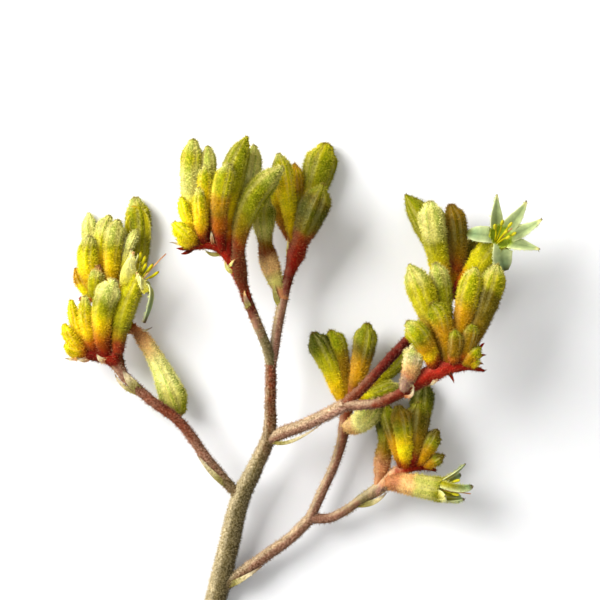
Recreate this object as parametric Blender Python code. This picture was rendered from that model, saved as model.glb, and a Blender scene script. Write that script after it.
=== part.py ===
"""A kangaroo paw flower head, cut and laid down.

One branched stem carries eight paws. A paw is a crimson stalk end with its ribbed, tubular buds and
flowers. Lengths are millimetres, in a frame whose X runs to the right, whose Y runs towards the flower
tips and whose Z rises from the surface that the flower lies on. A mesh is put in metres as it is made.
"""
import math
from collections import namedtuple

import bmesh
import bpy
from mathutils import Vector

# Scale and place
MM = 0.001
BOX_MIDDLE = Vector((0.42, -39.23, 0.0))
UP = Vector((0.0, 0.0, 1.0))

# Fits and thicknesses
PIECE_GAP = 0.35
BLADE_THICKNESS = 0.8
LOBE_THICKNESS = 1.3
WALL_THICKNESS = 0.9
LOBE_ROOT = 0.8

# Fineness of the meshes
FLOWER_SIDES = 12
SMALL_FLOWER_SIDES = 8
STEM_SIDES = 12
BRANCH_SIDES = 8
BRACT_SIDES = 4
LOBE_SIDES = 6
KNOB_SIDES = 6
THREAD_SIDES = 4
ANTHER_SIDES = 5
CURVE_STEPS = 6
STEM_SPACING = 16.0
BRANCH_SPACING = 10.0
STALK_SPACING = 7.0
FLOWER_RIBS = 6
RIB_DEPTH = 0.09
LARGE_WIDTH = 7.8
FLAT_ANGLE = math.radians(2.0)

# Each form gives the radius along a flower, from foot to tip, as a share of its half width
BUD = ((0.0, 0.32), (0.22, 0.60), (0.5, 0.85), (0.76, 1.0), (0.91, 0.86), (1.0, 0.36))
SMALL_BUD = ((0.0, 0.46), (0.28, 0.84), (0.6, 1.0), (0.86, 0.92), (1.0, 0.50))
POINTED = ((0.0, 0.32), (0.22, 0.58), (0.5, 0.86), (0.7, 1.0), (0.87, 0.80), (1.0, 0.22))
PLUMP = ((0.0, 0.50), (0.25, 0.76), (0.55, 0.90), (0.78, 1.0), (0.92, 0.92), (1.0, 0.5))
STALKED = (
    (0.0, 0.36), (0.12, 0.46), (0.23, 0.64), (0.36, 0.56), (0.5, 0.76), (0.74, 1.0), (0.9, 0.82), (1.0, 0.32)
)
BLUNT = ((0.0, 0.32), (0.3, 0.58), (0.6, 0.86), (0.8, 1.0), (0.93, 0.95), (1.0, 0.6))
WAISTED = (
    (0.0, 0.54), (0.16, 0.66), (0.34, 0.86), (0.46, 0.84), (0.6, 0.66), (0.8, 0.96), (0.92, 0.94), (1.0, 0.56)
)
WITHERED = ((0.0, 0.38), (0.26, 0.40), (0.36, 0.60), (0.66, 0.74), (0.86, 1.0), (0.95, 1.0), (1.0, 0.7))
POINTED_LOBE = ((0.0, 1.0), (0.35, 0.92), (0.7, 0.5), (1.0, 0.12))
BLUNT_LOBE = ((0.0, 0.9), (0.4, 1.0), (0.8, 0.84), (1.0, 0.4))
HOOD = ((0.0, 1.0), (0.4, 1.0), (0.75, 0.82), (1.0, 0.35))

Flower = namedtuple("Flower", "foot bend tip width form")
Bract = namedtuple("Bract", "foot bend tip width")
Paw = namedtuple("Paw", "node stalk collar flowers bracts")
Bloom = namedtuple("Bloom", "node paw foot base bend mouth facing radii lobes")
Lobe = namedtuple("Lobe", "bend tip width form")
Stamens = namedtuple("Stamens", "node bloom length anthers style")


def spot(x, y, z, radius):
    """A point of a stem's route, with the stem's radius there."""
    return Vector((x, y, z, radius))


# The stem: routes from the cut end and from each fork
SCAPE = (
    spot(-38.4, -142.0, 3.8, 4.1),
    spot(-35.6, -128.0, 4.2, 4.05),
    spot(-33.0, -116.8, 5.6, 4.0),
    spot(-28.0, -96.0, 9.0, 3.85),
    spot(-24.0, -80.0, 12.5, 3.6),
    spot(-17.2, -65.6, 16.2, 2.95),
    spot(-12.4, -54.0, 19.0, 2.5),
    spot(-11.8, -40.0, 21.6, 2.05),
    spot(-11.6, -25.6, 24.0, 2.05),
)
LEFT_BRANCH = (
    spot(-23.6, -79.2, 12.8, 2.0),
    spot(-27.6, -75.6, 13.6, 2.0),
    spot(-37.2, -64.0, 15.6, 1.95),
    spot(-48.0, -49.2, 17.2, 1.9),
    spot(-60.0, -40.0, 17.6, 1.9),
    spot(-70.4, -30.8, 17.5, 1.9),
)
RIGHT_BRANCH = (
    spot(-12.8, -56.0, 18.4, 2.4),
    spot(-6.0, -52.6, 22.0, 2.35),
    spot(0.0, -50.4, 25.0, 2.3),
    spot(10.0, -45.6, 29.8, 2.3),
    spot(17.2, -41.6, 33.0, 2.3),
)
LOW_BRANCH = (
    spot(-33.0, -117.2, 6.0, 2.4),
    spot(-24.0, -110.8, 7.4, 2.3),
    spot(-14.0, -103.6, 8.3, 2.2),
    spot(-3.6, -96.0, 9.2, 2.15),
    spot(4.0, -88.4, 10.0, 2.15),
)
STEM_BRACTS = (
    Bract((-26.4, -78.0, 14.0), (-34.8, -69.8, 17.0), (-41.2, -61.8, 18.6), 2.4),
    Bract((-14.0, -56.4, 20.0), (-4.0, -56.4, 24.6), (8.6, -49.0, 30.2), 1.6),
    Bract((-33.0, -115.6, 8.6), (-24.6, -113.4, 9.6), (-15.2, -107.4, 10.4), 2.4),
    Bract((-62.8, -37.2, 18.6), (-67.6, -32.8, 20.2), (-70.8, -28.0, 21.0), 3.8),
    Bract((-62.8, -39.6, 17.6), (-70.0, -35.0, 17.8), (-74.2, -29.6, 18.6), 1.8),
)

LEFT_FRONT = Paw(
    "paw_left_front",
    (spot(-70.4, -30.8, 17.5, 1.9), spot(-72.6, -27.6, 17.5, 2.0), spot(-74.8, -24.4, 17.6, 2.6),
     spot(-78.0, -22.8, 17.8, 2.6), spot(-82.0, -22.2, 18.0, 2.3), spot(-86.0, -22.2, 18.2, 1.9),
     spot(-90.4, -23.2, 18.4, 1.1)),
    5.0,
    (
        Flower((-77.2, -22.8), (-79.0, -8.0, 22.5), (-74.8, 6.4, 24.0), 10.0, PLUMP),
        Flower((-80.8, -22.4), (-84.8, -12.0, 20.0), (-86.0, 0.4, 20.5), 6.4, SMALL_BUD),
        Flower((-82.8, -22.4), (-88.2, -14.0, 17.8), (-91.6, -0.8, 18.5), 5.4, SMALL_BUD),
        Flower((-84.0, -22.4), (-89.6, -18.0, 20.2), (-94.0, -10.4, 20.5), 5.6, SMALL_BUD),
        Flower((-85.2, -22.6), (-88.8, -20.8, 20.5), (-93.6, -18.4, 21.0), 5.0, SMALL_BUD),
        Flower((-87.0, -22.6), (-89.6, -22.0, 18.8), (-92.8, -21.2, 19.0), 3.2, SMALL_BUD),
    ),
    (
        Bract((-77.0, -24.2, 19.0), (-79.2, -24.0, 21.0), (-81.2, -21.4, 21.8), 2.6),
        Bract((-83.2, -22.8, 19.0), (-86.4, -24.0, 20.0), (-89.2, -23.0, 21.0), 2.2),
        Bract((-88.0, -23.0, 18.4), (-91.0, -23.6, 18.8), (-94.2, -23.2, 19.0), 1.6),
    ),
)
LEFT_REAR = Paw(
    "paw_left_rear",
    (spot(-70.4, -30.8, 17.0, 1.8), spot(-71.6, -28.6, 14.4, 1.75), spot(-73.0, -24.0, 11.5, 1.7),
     spot(-73.2, -18.0, 10.0, 1.7), spot(-72.4, -12.0, 9.2, 1.7), spot(-72.8, -6.0, 8.8, 1.7),
     spot(-76.0, -2.0, 8.4, 1.6), spot(-81.2, 0.0, 8.2, 1.5), spot(-85.6, 0.4, 8.4, 1.2),
     spot(-89.2, 0.4, 8.6, 0.7)),
    8.0,
    (
        Flower((-83.0, 0.2), (-84.0, 15.2, 5.3), (-86.0, 34.6, 2.4), 7.4, BUD),
        Flower((-77.2, -1.4), (-80.4, 17.6, 9.0), (-77.4, 33.0, 7.8), 7.2, PLUMP),
        Flower((-75.2, -2.8), (-75.8, 15.2, 12.2), (-73.6, 30.8, 12.8), 8.2, PLUMP),
        Flower((-80.4, -0.2), (-85.2, 11.6, 11.4), (-84.8, 24.2, 11.6), 8.6, SMALL_BUD),
        Flower((-72.6, -7.2), (-66.0, 15.8, 5.8), (-66.8, 39.8, 3.8), 9.8, PLUMP),
        Flower((-83.6, 0.2), (-87.2, 5.2, 9.4), (-90.4, 12.0, 9.6), 5.6, SMALL_BUD),
        Flower((-81.6, 0.0), (-82.8, 5.2, 12.4), (-81.4, 12.8, 13.4), 6.6, SMALL_BUD),
        Flower((-72.6, -7.6), (-60.8, -19.4, 9.8), (-49.4, -43.8, 9.2), 10.2, WITHERED),
        Flower((-72.6, -7.2), (-71.0, 13.6, 11.8), (-66.1, 27.8, 12.2), 4.4, PLUMP),
    ),
    (
        Bract((-72.4, -12.0, 9.2), (-66.0, -13.0, 10.4), (-59.6, -11.0, 11.6), 1.6),
    ),
)
MIDDLE_FRONT = Paw(
    "paw_middle_front",
    (spot(-11.6, -25.6, 24.0, 2.0), spot(-12.8, -20.0, 25.5, 1.95), spot(-15.6, -12.8, 27.0, 1.9),
     spot(-18.4, -6.0, 28.5, 1.9), spot(-20.8, 0.0, 30.0, 1.95), spot(-22.8, 6.0, 31.5, 2.0),
     spot(-27.2, 15.2, 33.5, 2.0), spot(-31.2, 20.0, 34.5, 1.9), spot(-36.0, 21.8, 35.0, 1.8),
     spot(-42.0, 21.2, 35.0, 1.4), spot(-46.4, 20.4, 35.0, 0.8)),
    16.0,
    (
        Flower((-20.0, -2.0), (-23.4, 27.6, 36.0), (-7.6, 51.6, 37.0), 10.6, STALKED),
        Flower((-26.8, 14.6), (-28.2, 40.0, 37.0), (-21.0, 63.8, 36.5), 10.2, POINTED),
        Flower((-30.4, 19.2), (-31.4, 36.0, 42.6), (-28.2, 51.6, 43.0), 8.2, PLUMP),
        Flower((-26.0, 13.6), (-22.0, 38.0, 29.5), (-18.2, 60.4, 28.5), 8.4, BUD),
        Flower((-35.6, 21.6), (-37.2, 37.6, 40.0), (-37.0, 52.0, 40.5), 6.2, BUD),
        Flower((-37.6, 21.8), (-42.8, 38.0, 34.2), (-42.2, 61.8, 33.0), 8.8, PLUMP),
        Flower((-34.4, 21.4), (-36.0, 39.2, 33.6), (-36.4, 59.6, 32.0), 7.0, PLUMP),
        Flower((-39.2, 21.6), (-43.6, 30.4, 37.5), (-46.4, 39.6, 38.0), 5.4, SMALL_BUD),
        Flower((-37.6, 21.8), (-38.8, 31.2, 42.0), (-39.4, 42.8, 43.0), 5.8, SMALL_BUD),
        Flower((-40.2, 21.4), (-44.4, 25.2, 40.0), (-48.8, 29.4, 40.5), 6.6, SMALL_BUD),
        Flower((-42.0, 21.2), (-44.6, 22.4, 37.4), (-47.8, 23.6, 38.0), 4.4, SMALL_BUD),
    ),
    (
        Bract((-19.4, -4.6, 30.0), (-21.0, -1.0, 32.0), (-22.0, 3.6, 33.0), 2.4),
        Bract((-27.2, 9.4, 33.0), (-28.4, 12.2, 34.8), (-29.6, 15.6, 35.8), 1.8),
        Bract((-28.4, 13.2, 34.4), (-27.2, 14.0, 36.4), (-25.6, 16.0, 37.8), 1.4),
        Bract((-31.6, 17.4, 33.4), (-34.4, 18.0, 32.6), (-37.4, 19.8, 32.4), 1.8),
        Bract((-41.0, 20.6, 34.6), (-46.0, 21.8, 34.4), (-50.8, 22.8, 34.6), 1.6),
        Bract((-42.4, 20.4, 35.4), (-45.8, 20.2, 36.2), (-48.6, 20.4, 36.4), 1.6),
        Bract((-41.4, 20.6, 34.4), (-44.2, 19.0, 34.0), (-47.0, 18.2, 33.8), 1.8),
        Bract((-34.0, 21.8, 36.2), (-34.6, 24.4, 38.4), (-34.8, 27.2, 39.6), 1.5),
    ),
)
MIDDLE_REAR = Paw(
    "paw_middle_rear",
    (spot(-11.6, -25.6, 24.0, 2.0), spot(-10.4, -20.0, 23.3, 1.95), spot(-8.8, -10.0, 22.3, 1.9),
     spot(-7.2, -2.0, 21.2, 1.9), spot(-5.6, 6.0, 19.8, 2.0), spot(-3.6, 12.8, 18.4, 2.0),
     spot(-2.4, 18.4, 17.4, 1.9), spot(-2.4, 22.8, 16.8, 1.6)),
    16.0,
    (
        Flower((-4.4, 9.6), (1.8, 27.6, 22.8), (8.8, 44.8, 24.5), 12.6, STALKED),
        Flower((-2.4, 20.4), (3.8, 40.0, 9.6), (10.0, 60.6, 4.6), 12.4, BLUNT),
        Flower((-2.4, 20.4), (-1.2, 38.0, 12.0), (-2.2, 54.4, 10.0), 6.6, BUD),
        Flower((-2.4, 20.8), (-4.8, 38.8, 20.8), (-8.4, 57.6, 21.5), 8.2, BUD),
        Flower((-2.4, 20.0), (-7.4, 34.0, 9.4), (-13.2, 46.0, 2.6), 8.2, BUD),
        Flower((-6.6, 1.2), (-13.2, 19.2, 18.0), (-14.2, 39.4, 18.0), 9.4, WAISTED),
    ),
    (
        Bract((-8.2, -3.6, 22.8), (-9.8, 1.6, 23.0), (-10.2, 6.6, 22.6), 2.2),
        Bract((-4.0, 12.0, 19.0), (-4.8, 18.0, 19.6), (-4.8, 25.0, 19.6), 1.6),
    ),
)
RIGHT_REAR = Paw(
    "paw_right_rear",
    (spot(17.2, -41.6, 33.0, 2.1), spot(23.2, -36.4, 32.0, 2.0), spot(30.8, -28.4, 30.0, 1.95),
     spot(38.0, -20.8, 28.0, 1.95), spot(44.0, -14.8, 26.0, 1.95), spot(50.0, -8.8, 23.0, 1.95),
     spot(55.2, -2.8, 20.0, 1.9), spot(59.2, 0.8, 18.4, 1.8), spot(62.6, 2.4, 18.0, 1.3),
     spot(65.4, 1.2, 18.0, 0.6)),
    36.0,
    (
        Flower((57.6, -0.4), (54.2, 22.8, 8.2), (43.4, 42.2, 3.0), 10.6, POINTED),
        Flower((58.4, 0.2), (54.6, 20.0, 22.3), (52.0, 37.4, 22.5), 10.2, PLUMP),
        Flower((60.0, 1.4), (63.0, 20.0, 15.5), (61.0, 36.6, 14.6), 9.6, PLUMP),
        Flower((60.8, 1.8), (66.0, 14.4, 7.3), (71.8, 24.2, 2.2), 7.8, BUD),
    ),
    (),
)
RIGHT_FRONT = Paw(
    "paw_right_front",
    (spot(17.2, -41.6, 33.0, 2.0), spot(24.0, -41.4, 35.0, 1.95), spot(31.2, -40.4, 37.0, 1.9),
     spot(39.2, -36.8, 38.5, 2.0), spot(45.6, -32.6, 39.5, 2.7), spot(51.2, -29.0, 40.0, 3.5),
     spot(57.2, -26.4, 40.5, 3.0), spot(63.2, -25.6, 41.0, 2.2), spot(68.4, -26.6, 41.0, 1.1),
     spot(72.2, -27.8, 41.0, 0.5)),
    16.0,
    (
        Flower((54.4, -28.0), (50.4, -4.6, 38.0), (43.2, 13.4, 37.0), 11.2, POINTED),
        Flower((56.8, -26.8), (56.8, -3.0, 35.6), (53.6, 13.2, 35.0), 8.0, PLUMP),
        Flower((58.0, -26.4), (56.2, -11.6, 43.4), (52.2, -2.4, 44.0), 8.6, PLUMP),
        Flower((60.4, -26.0), (64.0, -6.4, 41.0), (68.6, 11.6, 40.8), 9.4, BUD),
        Flower((62.0, -25.8), (71.4, -6.4, 40.0), (77.2, 12.8, 39.8), 9.8, BUD),
        Flower((53.2, -28.6), (49.0, -17.8, 45.8), (42.8, -9.6, 46.4), 8.8, PLUMP),
        Flower((59.6, -26.2), (60.4, -19.6, 46.4), (60.4, -12.6, 47.0), 5.8, SMALL_BUD),
        Flower((62.0, -25.8), (65.2, -18.2, 44.6), (67.2, -10.6, 45.0), 6.8, SMALL_BUD),
        Flower((64.0, -25.6), (66.4, -22.4, 44.4), (69.6, -19.0, 45.0), 6.0, SMALL_BUD),
        Flower((65.6, -25.8), (67.6, -24.8, 43.4), (69.6, -23.6, 44.0), 4.0, SMALL_BUD),
        Flower((40.0, -36.8), (43.2, -28.0, 42.0), (45.0, -18.8, 43.0), 8.2, PLUMP),
    ),
    (
        Bract((67.0, -21.6, 43.6), (69.6, -19.4, 44.4), (72.0, -16.8, 44.8), 1.6),
        Bract((67.4, -22.6, 43.0), (70.0, -22.2, 43.4), (72.6, -21.6, 43.6), 1.6),
        Bract((66.8, -25.0, 42.0), (69.2, -25.0, 42.6), (71.6, -24.8, 42.8), 1.6),
        Bract((56.4, -27.2, 41.0), (58.8, -29.2, 41.8), (60.2, -32.4, 41.6), 1.6),
        Bract((53.6, -28.8, 41.2), (52.8, -31.4, 42.2), (50.4, -33.4, 43.0), 2.0),
        Bract((39.4, -37.8, 39.8), (43.4, -37.4, 42.0), (44.2, -32.6, 43.4), 1.5),
    ),
)
LOW_REAR = Paw(
    "paw_low_rear",
    (spot(4.0, -88.4, 10.0, 2.0), spot(8.8, -77.6, 10.0, 1.9), spot(13.6, -67.2, 10.2, 1.8),
     spot(16.4, -58.8, 10.6, 1.9), spot(18.0, -51.2, 11.0, 2.3), spot(18.8, -44.8, 11.5, 2.3),
     spot(21.0, -39.6, 12.0, 2.1), spot(25.6, -37.0, 12.0, 1.7), spot(31.0, -36.0, 12.0, 1.0)),
    28.0,
    (
        Flower((18.8, -44.4), (12.4, -28.0, 12.6), (6.0, -14.8, 12.6), 9.2, PLUMP),
        Flower((19.2, -43.6), (16.8, -26.4, 11.0), (12.8, -13.8, 11.0), 8.6, PLUMP),
        Flower((20.4, -41.2), (24.2, -26.4, 12.6), (27.0, -11.2, 12.6), 9.2, PLUMP),
        Flower((26.0, -37.0), (34.8, -29.2, 6.3), (43.2, -19.6, 2.5), 8.6, BUD),
        Flower((21.0, -39.6), (30.0, -38.2, 13.4), (39.0, -34.6, 12.6), 7.6, BUD),
        Flower((18.0, -50.2), (23.8, -49.4, 15.2), (30.0, -41.0, 16.6), 9.8, PLUMP),
    ),
    (),
)
LOW_FRONT = Paw(
    "paw_low_front",
    (spot(4.0, -88.4, 10.0, 2.0), spot(12.0, -88.0, 10.2, 1.9), spot(18.0, -85.2, 10.5, 1.8),
     spot(23.2, -81.6, 10.8, 1.8), spot(28.0, -78.6, 11.0, 2.3), spot(32.0, -75.8, 11.3, 2.7),
     spot(35.2, -72.8, 11.8, 2.9), spot(38.8, -69.8, 12.2, 2.6), spot(44.0, -67.4, 12.5, 2.2),
     spot(49.6, -67.2, 12.6, 1.4), spot(54.8, -68.6, 12.6, 0.6)),
    15.0,
    (
        Flower((31.6, -76.4), (33.8, -60.4, 11.4), (34.4, -43.6, 7.0), 8.2, WAISTED),
        Flower((41.0, -68.6), (38.4, -56.4, 17.4), (34.8, -43.8, 16.6), 7.0, PLUMP),
        Flower((42.4, -68.0), (41.6, -56.0, 18.8), (39.6, -44.0, 19.0), 9.2, PLUMP),
        Flower((44.8, -67.4), (46.6, -56.0, 16.6), (47.6, -43.0, 16.2), 9.6, PLUMP),
        Flower((46.0, -67.2), (48.0, -52.0, 7.0), (50.4, -35.2, 3.6), 9.8, BLUNT),
        Flower((47.2, -67.2), (50.8, -60.0, 16.2), (54.6, -53.2, 16.6), 7.4, SMALL_BUD),
        Flower((49.6, -67.2), (53.2, -65.0, 15.0), (57.0, -62.8, 15.6), 5.4, SMALL_BUD),
    ),
    (
        Bract((21.6, -83.4, 11.0), (29.2, -81.6, 12.2), (35.0, -77.6, 12.8), 2.4),
    ),
)
PAWS = (LEFT_FRONT, LEFT_REAR, MIDDLE_FRONT, MIDDLE_REAR, RIGHT_REAR, RIGHT_FRONT, LOW_REAR, LOW_FRONT)

# Open flowers: a tube with six pointed lobes round its mouth. The radii are at base, middle and mouth
BLOOMS = (
    Bloom(
        "open_flower_left", "paw_left_front", (-75.0, -24.2, 17.8), (-72.8, -19.6, 19.4), (-71.0, -6.4, 20.4),
        (-64.6, 9.0, 21.6), (0.84, 0.52, 0.12), (2.4, 4.2, 4.5),
        (
            Lobe((-68.2, 15.2, 24.0), (-67.2, 20.4, 24.2), 6.6, POINTED_LOBE),
            Lobe((-63.2, 7.4, 27.0), (-62.4, 4.0, 27.4), 4.0, BLUNT_LOBE),
            Lobe((-59.4, 3.2, 26.4), (-62.2, -9.0, 24.0), 3.8, BLUNT_LOBE),
            Lobe((-60.6, 6.0, 18.6), (-60.6, 2.6, 16.4), 3.8, BLUNT_LOBE),
            Lobe((-62.6, 12.4, 17.4), (-62.4, 15.0, 17.0), 4.2, POINTED_LOBE),
            Lobe((-65.4, 15.4, 18.4), (-64.8, 18.6, 18.0), 4.4, POINTED_LOBE),
        ),
    ),
    Bloom(
        "open_flower_right", "paw_right_rear", (60.6, 1.8, 18.4), (64.2, 5.8, 20.0), (73.2, 16.0, 22.8),
        (79.6, 25.2, 29.6), (0.32, 0.34, 0.88), (2.6, 4.9, 5.1),
        (
            Lobe((77.4, 35.2, 31.0), (77.8, 41.8, 32.0), 6.0, POINTED_LOBE),
            Lobe((86.2, 33.6, 31.6), (89.4, 39.0, 33.6), 6.0, POINTED_LOBE),
            Lobe((90.0, 28.2, 31.4), (95.6, 32.0, 33.4), 6.0, POINTED_LOBE),
            Lobe((89.0, 21.2, 31.6), (94.8, 20.0, 32.4), 6.0, POINTED_LOBE),
            Lobe((79.8, 16.4, 29.8), (81.6, 12.0, 25.0), 8.4, HOOD),
            Lobe((71.4, 25.8, 30.8), (66.6, 26.6, 27.6), 7.0, HOOD),
        ),
    ),
    Bloom(
        "open_flower_low", "paw_low_front", (34.6, -74.2, 12.0), (37.0, -73.2, 13.6), (46.6, -74.4, 16.4),
        (57.0, -76.2, 18.2), (0.90, -0.16, 0.40), (3.2, 4.2, 4.6),
        (
            Lobe((62.2, -68.8, 19.2), (66.2, -65.4, 20.4), 4.6, POINTED_LOBE),
            Lobe((63.4, -74.6, 23.6), (68.6, -74.0, 23.2), 4.4, BLUNT_LOBE),
            Lobe((62.0, -80.4, 19.4), (65.6, -79.6, 20.6), 4.8, BLUNT_LOBE),
            Lobe((57.2, -78.8, 23.6), (57.6, -77.8, 26.4), 4.8, POINTED_LOBE),
            Lobe((61.6, -71.6, 14.2), (64.6, -70.0, 13.6), 4.2, BLUNT_LOBE),
            Lobe((61.8, -79.0, 13.2), (64.4, -81.2, 12.4), 4.4, BLUNT_LOBE),
        ),
    ),
)

# Stamens and style: each rises from the bottom of the tube and leaves the mouth
STAMENS = (
    Stamens("stamens_left", "open_flower_left", 4.8,
            ((-63.9, 17.0, 22.0), (-62.4, 15.6, 22.4), (-62.2, 12.8, 22.8), (-60.0, 12.6, 22.8),
             (-58.2, 10.0, 22.0)),
            (-53.4, 18.4, 24.0)),
    Stamens("stamens_right", "open_flower_right", 3.0,
            ((76.9, 28.8, 33.8), (79.7, 30.4, 34.4), (82.8, 29.6, 34.6), (81.0, 26.6, 35.2),
             (84.2, 26.0, 34.4), (81.8, 24.6, 35.6)),
            (83.4, 28.2, 36.4)),
    Stamens("stamens_low", "open_flower_low", 3.4,
            ((62.4, -72.4, 20.4), (61.2, -74.4, 20.2), (62.6, -75.8, 20.4), (62.0, -77.6, 21.2),
             (63.2, -76.6, 17.6)),
            (68.0, -77.2, 24.0)),
)
ANTHER_RADIUS = 0.75
FILAMENT_RADIUS = 0.4
STYLE_RADIUS = 0.36
KNOB_RADIUS = 1.3
CUP_DEPTH = 0.42
TUBE_SHARES = (0.0, 0.28, 0.54, 0.8, 1.0)

# What presses on what: the first node keeps clear of the flower of the second
PRESSED = (("paw_low_front", LOW_REAR, 5),)

# Colours: linear red, green and blue
STEM_COLOUR = (0.16, 0.13, 0.05)
PAW_COLOUR = (0.52, 0.40, 0.03)
REAR_PAW_COLOUR = (0.42, 0.38, 0.05)
BLOOM_COLOUR = (0.45, 0.50, 0.16)
STAMEN_COLOUR = (0.62, 0.56, 0.08)


def clear_scene():
    """Start from an empty scene."""
    for thing in list(bpy.data.objects):
        bpy.data.objects.remove(thing)


def material(name, colour, roughness):
    """A plain surface of one colour."""
    surface = bpy.data.materials.new(name)
    surface.use_nodes = True
    shader = surface.node_tree.nodes["Principled BSDF"]
    shader.inputs["Base Color"].default_value = (*colour, 1.0)
    shader.inputs["Roughness"].default_value = roughness
    shader.inputs["Metallic"].default_value = 0.0
    return surface


def smooth_route(spots):
    """A smooth line of points through the spots of a route, each with its radius."""
    reach = [spots[0] * 2 - spots[1], *spots, spots[-1] * 2 - spots[-2]]
    line = []
    for before, start, end, after in zip(reach, reach[1:], reach[2:], reach[3:]):
        for step in range(CURVE_STEPS):
            t = step / CURVE_STEPS
            linear = (end - before) * t
            square = (before * 2 - start * 5 + end * 4 - after) * t ** 2
            cube = (start * 3 - before - end * 3 + after) * t ** 3
            line.append((start * 2 + linear + square + cube) * 0.5)
    line.append(spots[-1].copy())
    return line


def length_of(line):
    """The length of a line of points."""
    return sum((end - start).to_3d().length for start, end in zip(line, line[1:]))


def point_at(line, distance):
    """The point and radius at a distance along a line, which runs on straight past its ends."""
    for start, end in zip(line, line[1:]):
        step = (end - start).to_3d().length
        if distance <= step:
            break
        distance -= step
    else:
        distance += step
    return start.lerp(end, distance / step)


def along(line, start, end, spacing):
    """Stations on a line between two distances: centre, direction and radius."""
    count = max(1, round((end - start) / spacing))
    stations = []
    for index in range(count + 1):
        distance = start + (end - start) * index / count
        here = point_at(line, distance)
        ahead = point_at(line, distance + 0.5).to_3d()
        behind = point_at(line, distance - 0.5).to_3d()
        stations.append((here.to_3d(), (ahead - behind).normalized(), here.w))
    return stations


def nearest(line, foot):
    """The point of a line that is nearest to a foot, which has X and Y or all three."""
    size = len(foot)
    return min(line, key=lambda here: (Vector(here[:size]) - Vector(foot)).length).to_3d()


def bow(start, middle, end, t):
    """The point at t on the curve from start to end that passes the middle half way."""
    control = middle * 2 - (start + end) * 0.5
    return start * (1 - t) ** 2 + control * 2 * t * (1 - t) + end * t ** 2


def bow_direction(start, middle, end, t):
    """The direction of that curve at t."""
    control = middle * 2 - (start + end) * 0.5
    return ((control - start) * (1 - t) + (end - control) * t).normalized()


def across(direction, facing):
    """Two directions square to a line: one across it and one towards its face."""
    side = direction.cross(facing).normalized()
    return side, side.cross(direction)


def round_ring(centre, direction, radius, sides, rib=0.0, facing=UP):
    """A ring of points round a line, with a ridge over each rib."""
    side, face = across(direction, facing)
    ring = []
    for index in range(sides):
        angle = 2 * math.pi * index / sides
        reach = radius * (1 + rib * math.cos(FLOWER_RIBS * angle))
        ring.append(centre + side * math.cos(angle) * reach + face * math.sin(angle) * reach)
    return ring


def flat_ring(centre, direction, width, thickness, sides, wide):
    """A flat ring of points round a line, for a blade whose width lies along the wide direction."""
    face = wide.cross(direction).normalized()
    side = direction.cross(face)
    ring = []
    for index in range(sides):
        angle = 2 * math.pi * index / sides
        sideways = math.cos(angle) * width / 2
        outwards = math.sin(angle) * thickness / 2
        ring.append(centre + side * sideways + face * outwards)
    return ring


def put_ring(verts, ring, order):
    """Move the vertices of a ring to their places."""
    for vert in verts:
        vert.co = (ring[vert[order]] - BOX_MIDDLE) * MM


def loft(rings):
    """A closed mesh through rings of points, capped at both ends."""
    body = bmesh.new()
    order = body.verts.layers.int.new("order")
    circle = bmesh.ops.create_circle(body, cap_ends=True, segments=len(rings[0]), radius=1.0)
    for index, vert in enumerate(circle["verts"]):
        vert[order] = index
    put_ring(circle["verts"], rings[0], order)
    edges = list(body.edges)
    for ring in rings[1:]:
        grown = bmesh.ops.extrude_edge_only(body, edges=edges)["geom"]
        put_ring([part for part in grown if isinstance(part, bmesh.types.BMVert)], ring, order)
        edges = [part for part in grown if isinstance(part, bmesh.types.BMEdge) and part.is_boundary]
    bmesh.ops.edgeloop_fill(body, edges=edges)
    bmesh.ops.triangulate(body, faces=body.faces)
    bmesh.ops.recalc_face_normals(body, faces=body.faces)
    mesh = bpy.data.meshes.new("loft")
    body.to_mesh(mesh)
    body.free()
    return mesh


def stem_mesh(line, start, end, spacing, sides):
    """A round stem along part of a line."""
    stations = along(line, start, end, spacing)
    return loft([round_ring(centre, direction, radius, sides) for centre, direction, radius in stations])


def flower_mesh(flower, foot, extra=0.0):
    """A ribbed bud or flower, from its foot on the stalk to its tip; extra makes it stouter all over."""
    bend = Vector(flower.bend)
    tip = Vector(flower.tip)
    last = flower.form[-1][0]
    large = flower.width >= LARGE_WIDTH
    sides = FLOWER_SIDES if large else SMALL_FLOWER_SIDES
    rings = []
    for t, share in flower.form:
        centre = bow(foot, bend, tip, t)
        direction = bow_direction(foot, bend, tip, t)
        if t == last:
            centre = centre + direction * extra
        rib = RIB_DEPTH * min(1.0, t / 0.5) if large else 0.0
        radius = share * flower.width / 2 + extra
        rings.append(round_ring(centre, direction, radius, sides, rib))
    return loft(rings)


def blade_mesh(foot, bend, tip, width, thickness, wide, sides, shares):
    """A flat pointed blade, whose width follows the shares from foot to tip."""
    foot, bend, tip = Vector(foot), Vector(bend), Vector(tip)
    rings = []
    for t, share in shares:
        centre = bow(foot, bend, tip, t)
        direction = bow_direction(foot, bend, tip, t)
        rings.append(flat_ring(centre, direction, width * share, thickness, sides, wide))
    return loft(rings)


def bract_mesh(bract, line):
    """A small pointed leaf, rooted in the stem that the line runs through."""
    shares = ((0.0, 0.7), (0.4, 1.0), (0.75, 0.66), (1.0, 0.2))
    foot = nearest(line, bract.foot)
    wide = (Vector(bract.tip) - foot).cross(UP)
    return blade_mesh(foot, bract.bend, bract.tip, bract.width, BLADE_THICKNESS, wide, BRACT_SIDES, shares)


def lobe_mesh(lobe, bloom):
    """One pointed lobe of an open flower, rooted in the rim of its tube."""
    mouth, direction, radius = tube_point(bloom, 1.0)
    outward = Vector(lobe.bend) - mouth
    outward = (outward - direction * outward.dot(direction)).normalized()
    root = mouth + outward * (radius - WALL_THICKNESS / 2) - direction * LOBE_ROOT
    wide = direction.cross(outward)
    return blade_mesh(root, lobe.bend, lobe.tip, lobe.width, LOBE_THICKNESS, wide, LOBE_SIDES, lobe.form)


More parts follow.
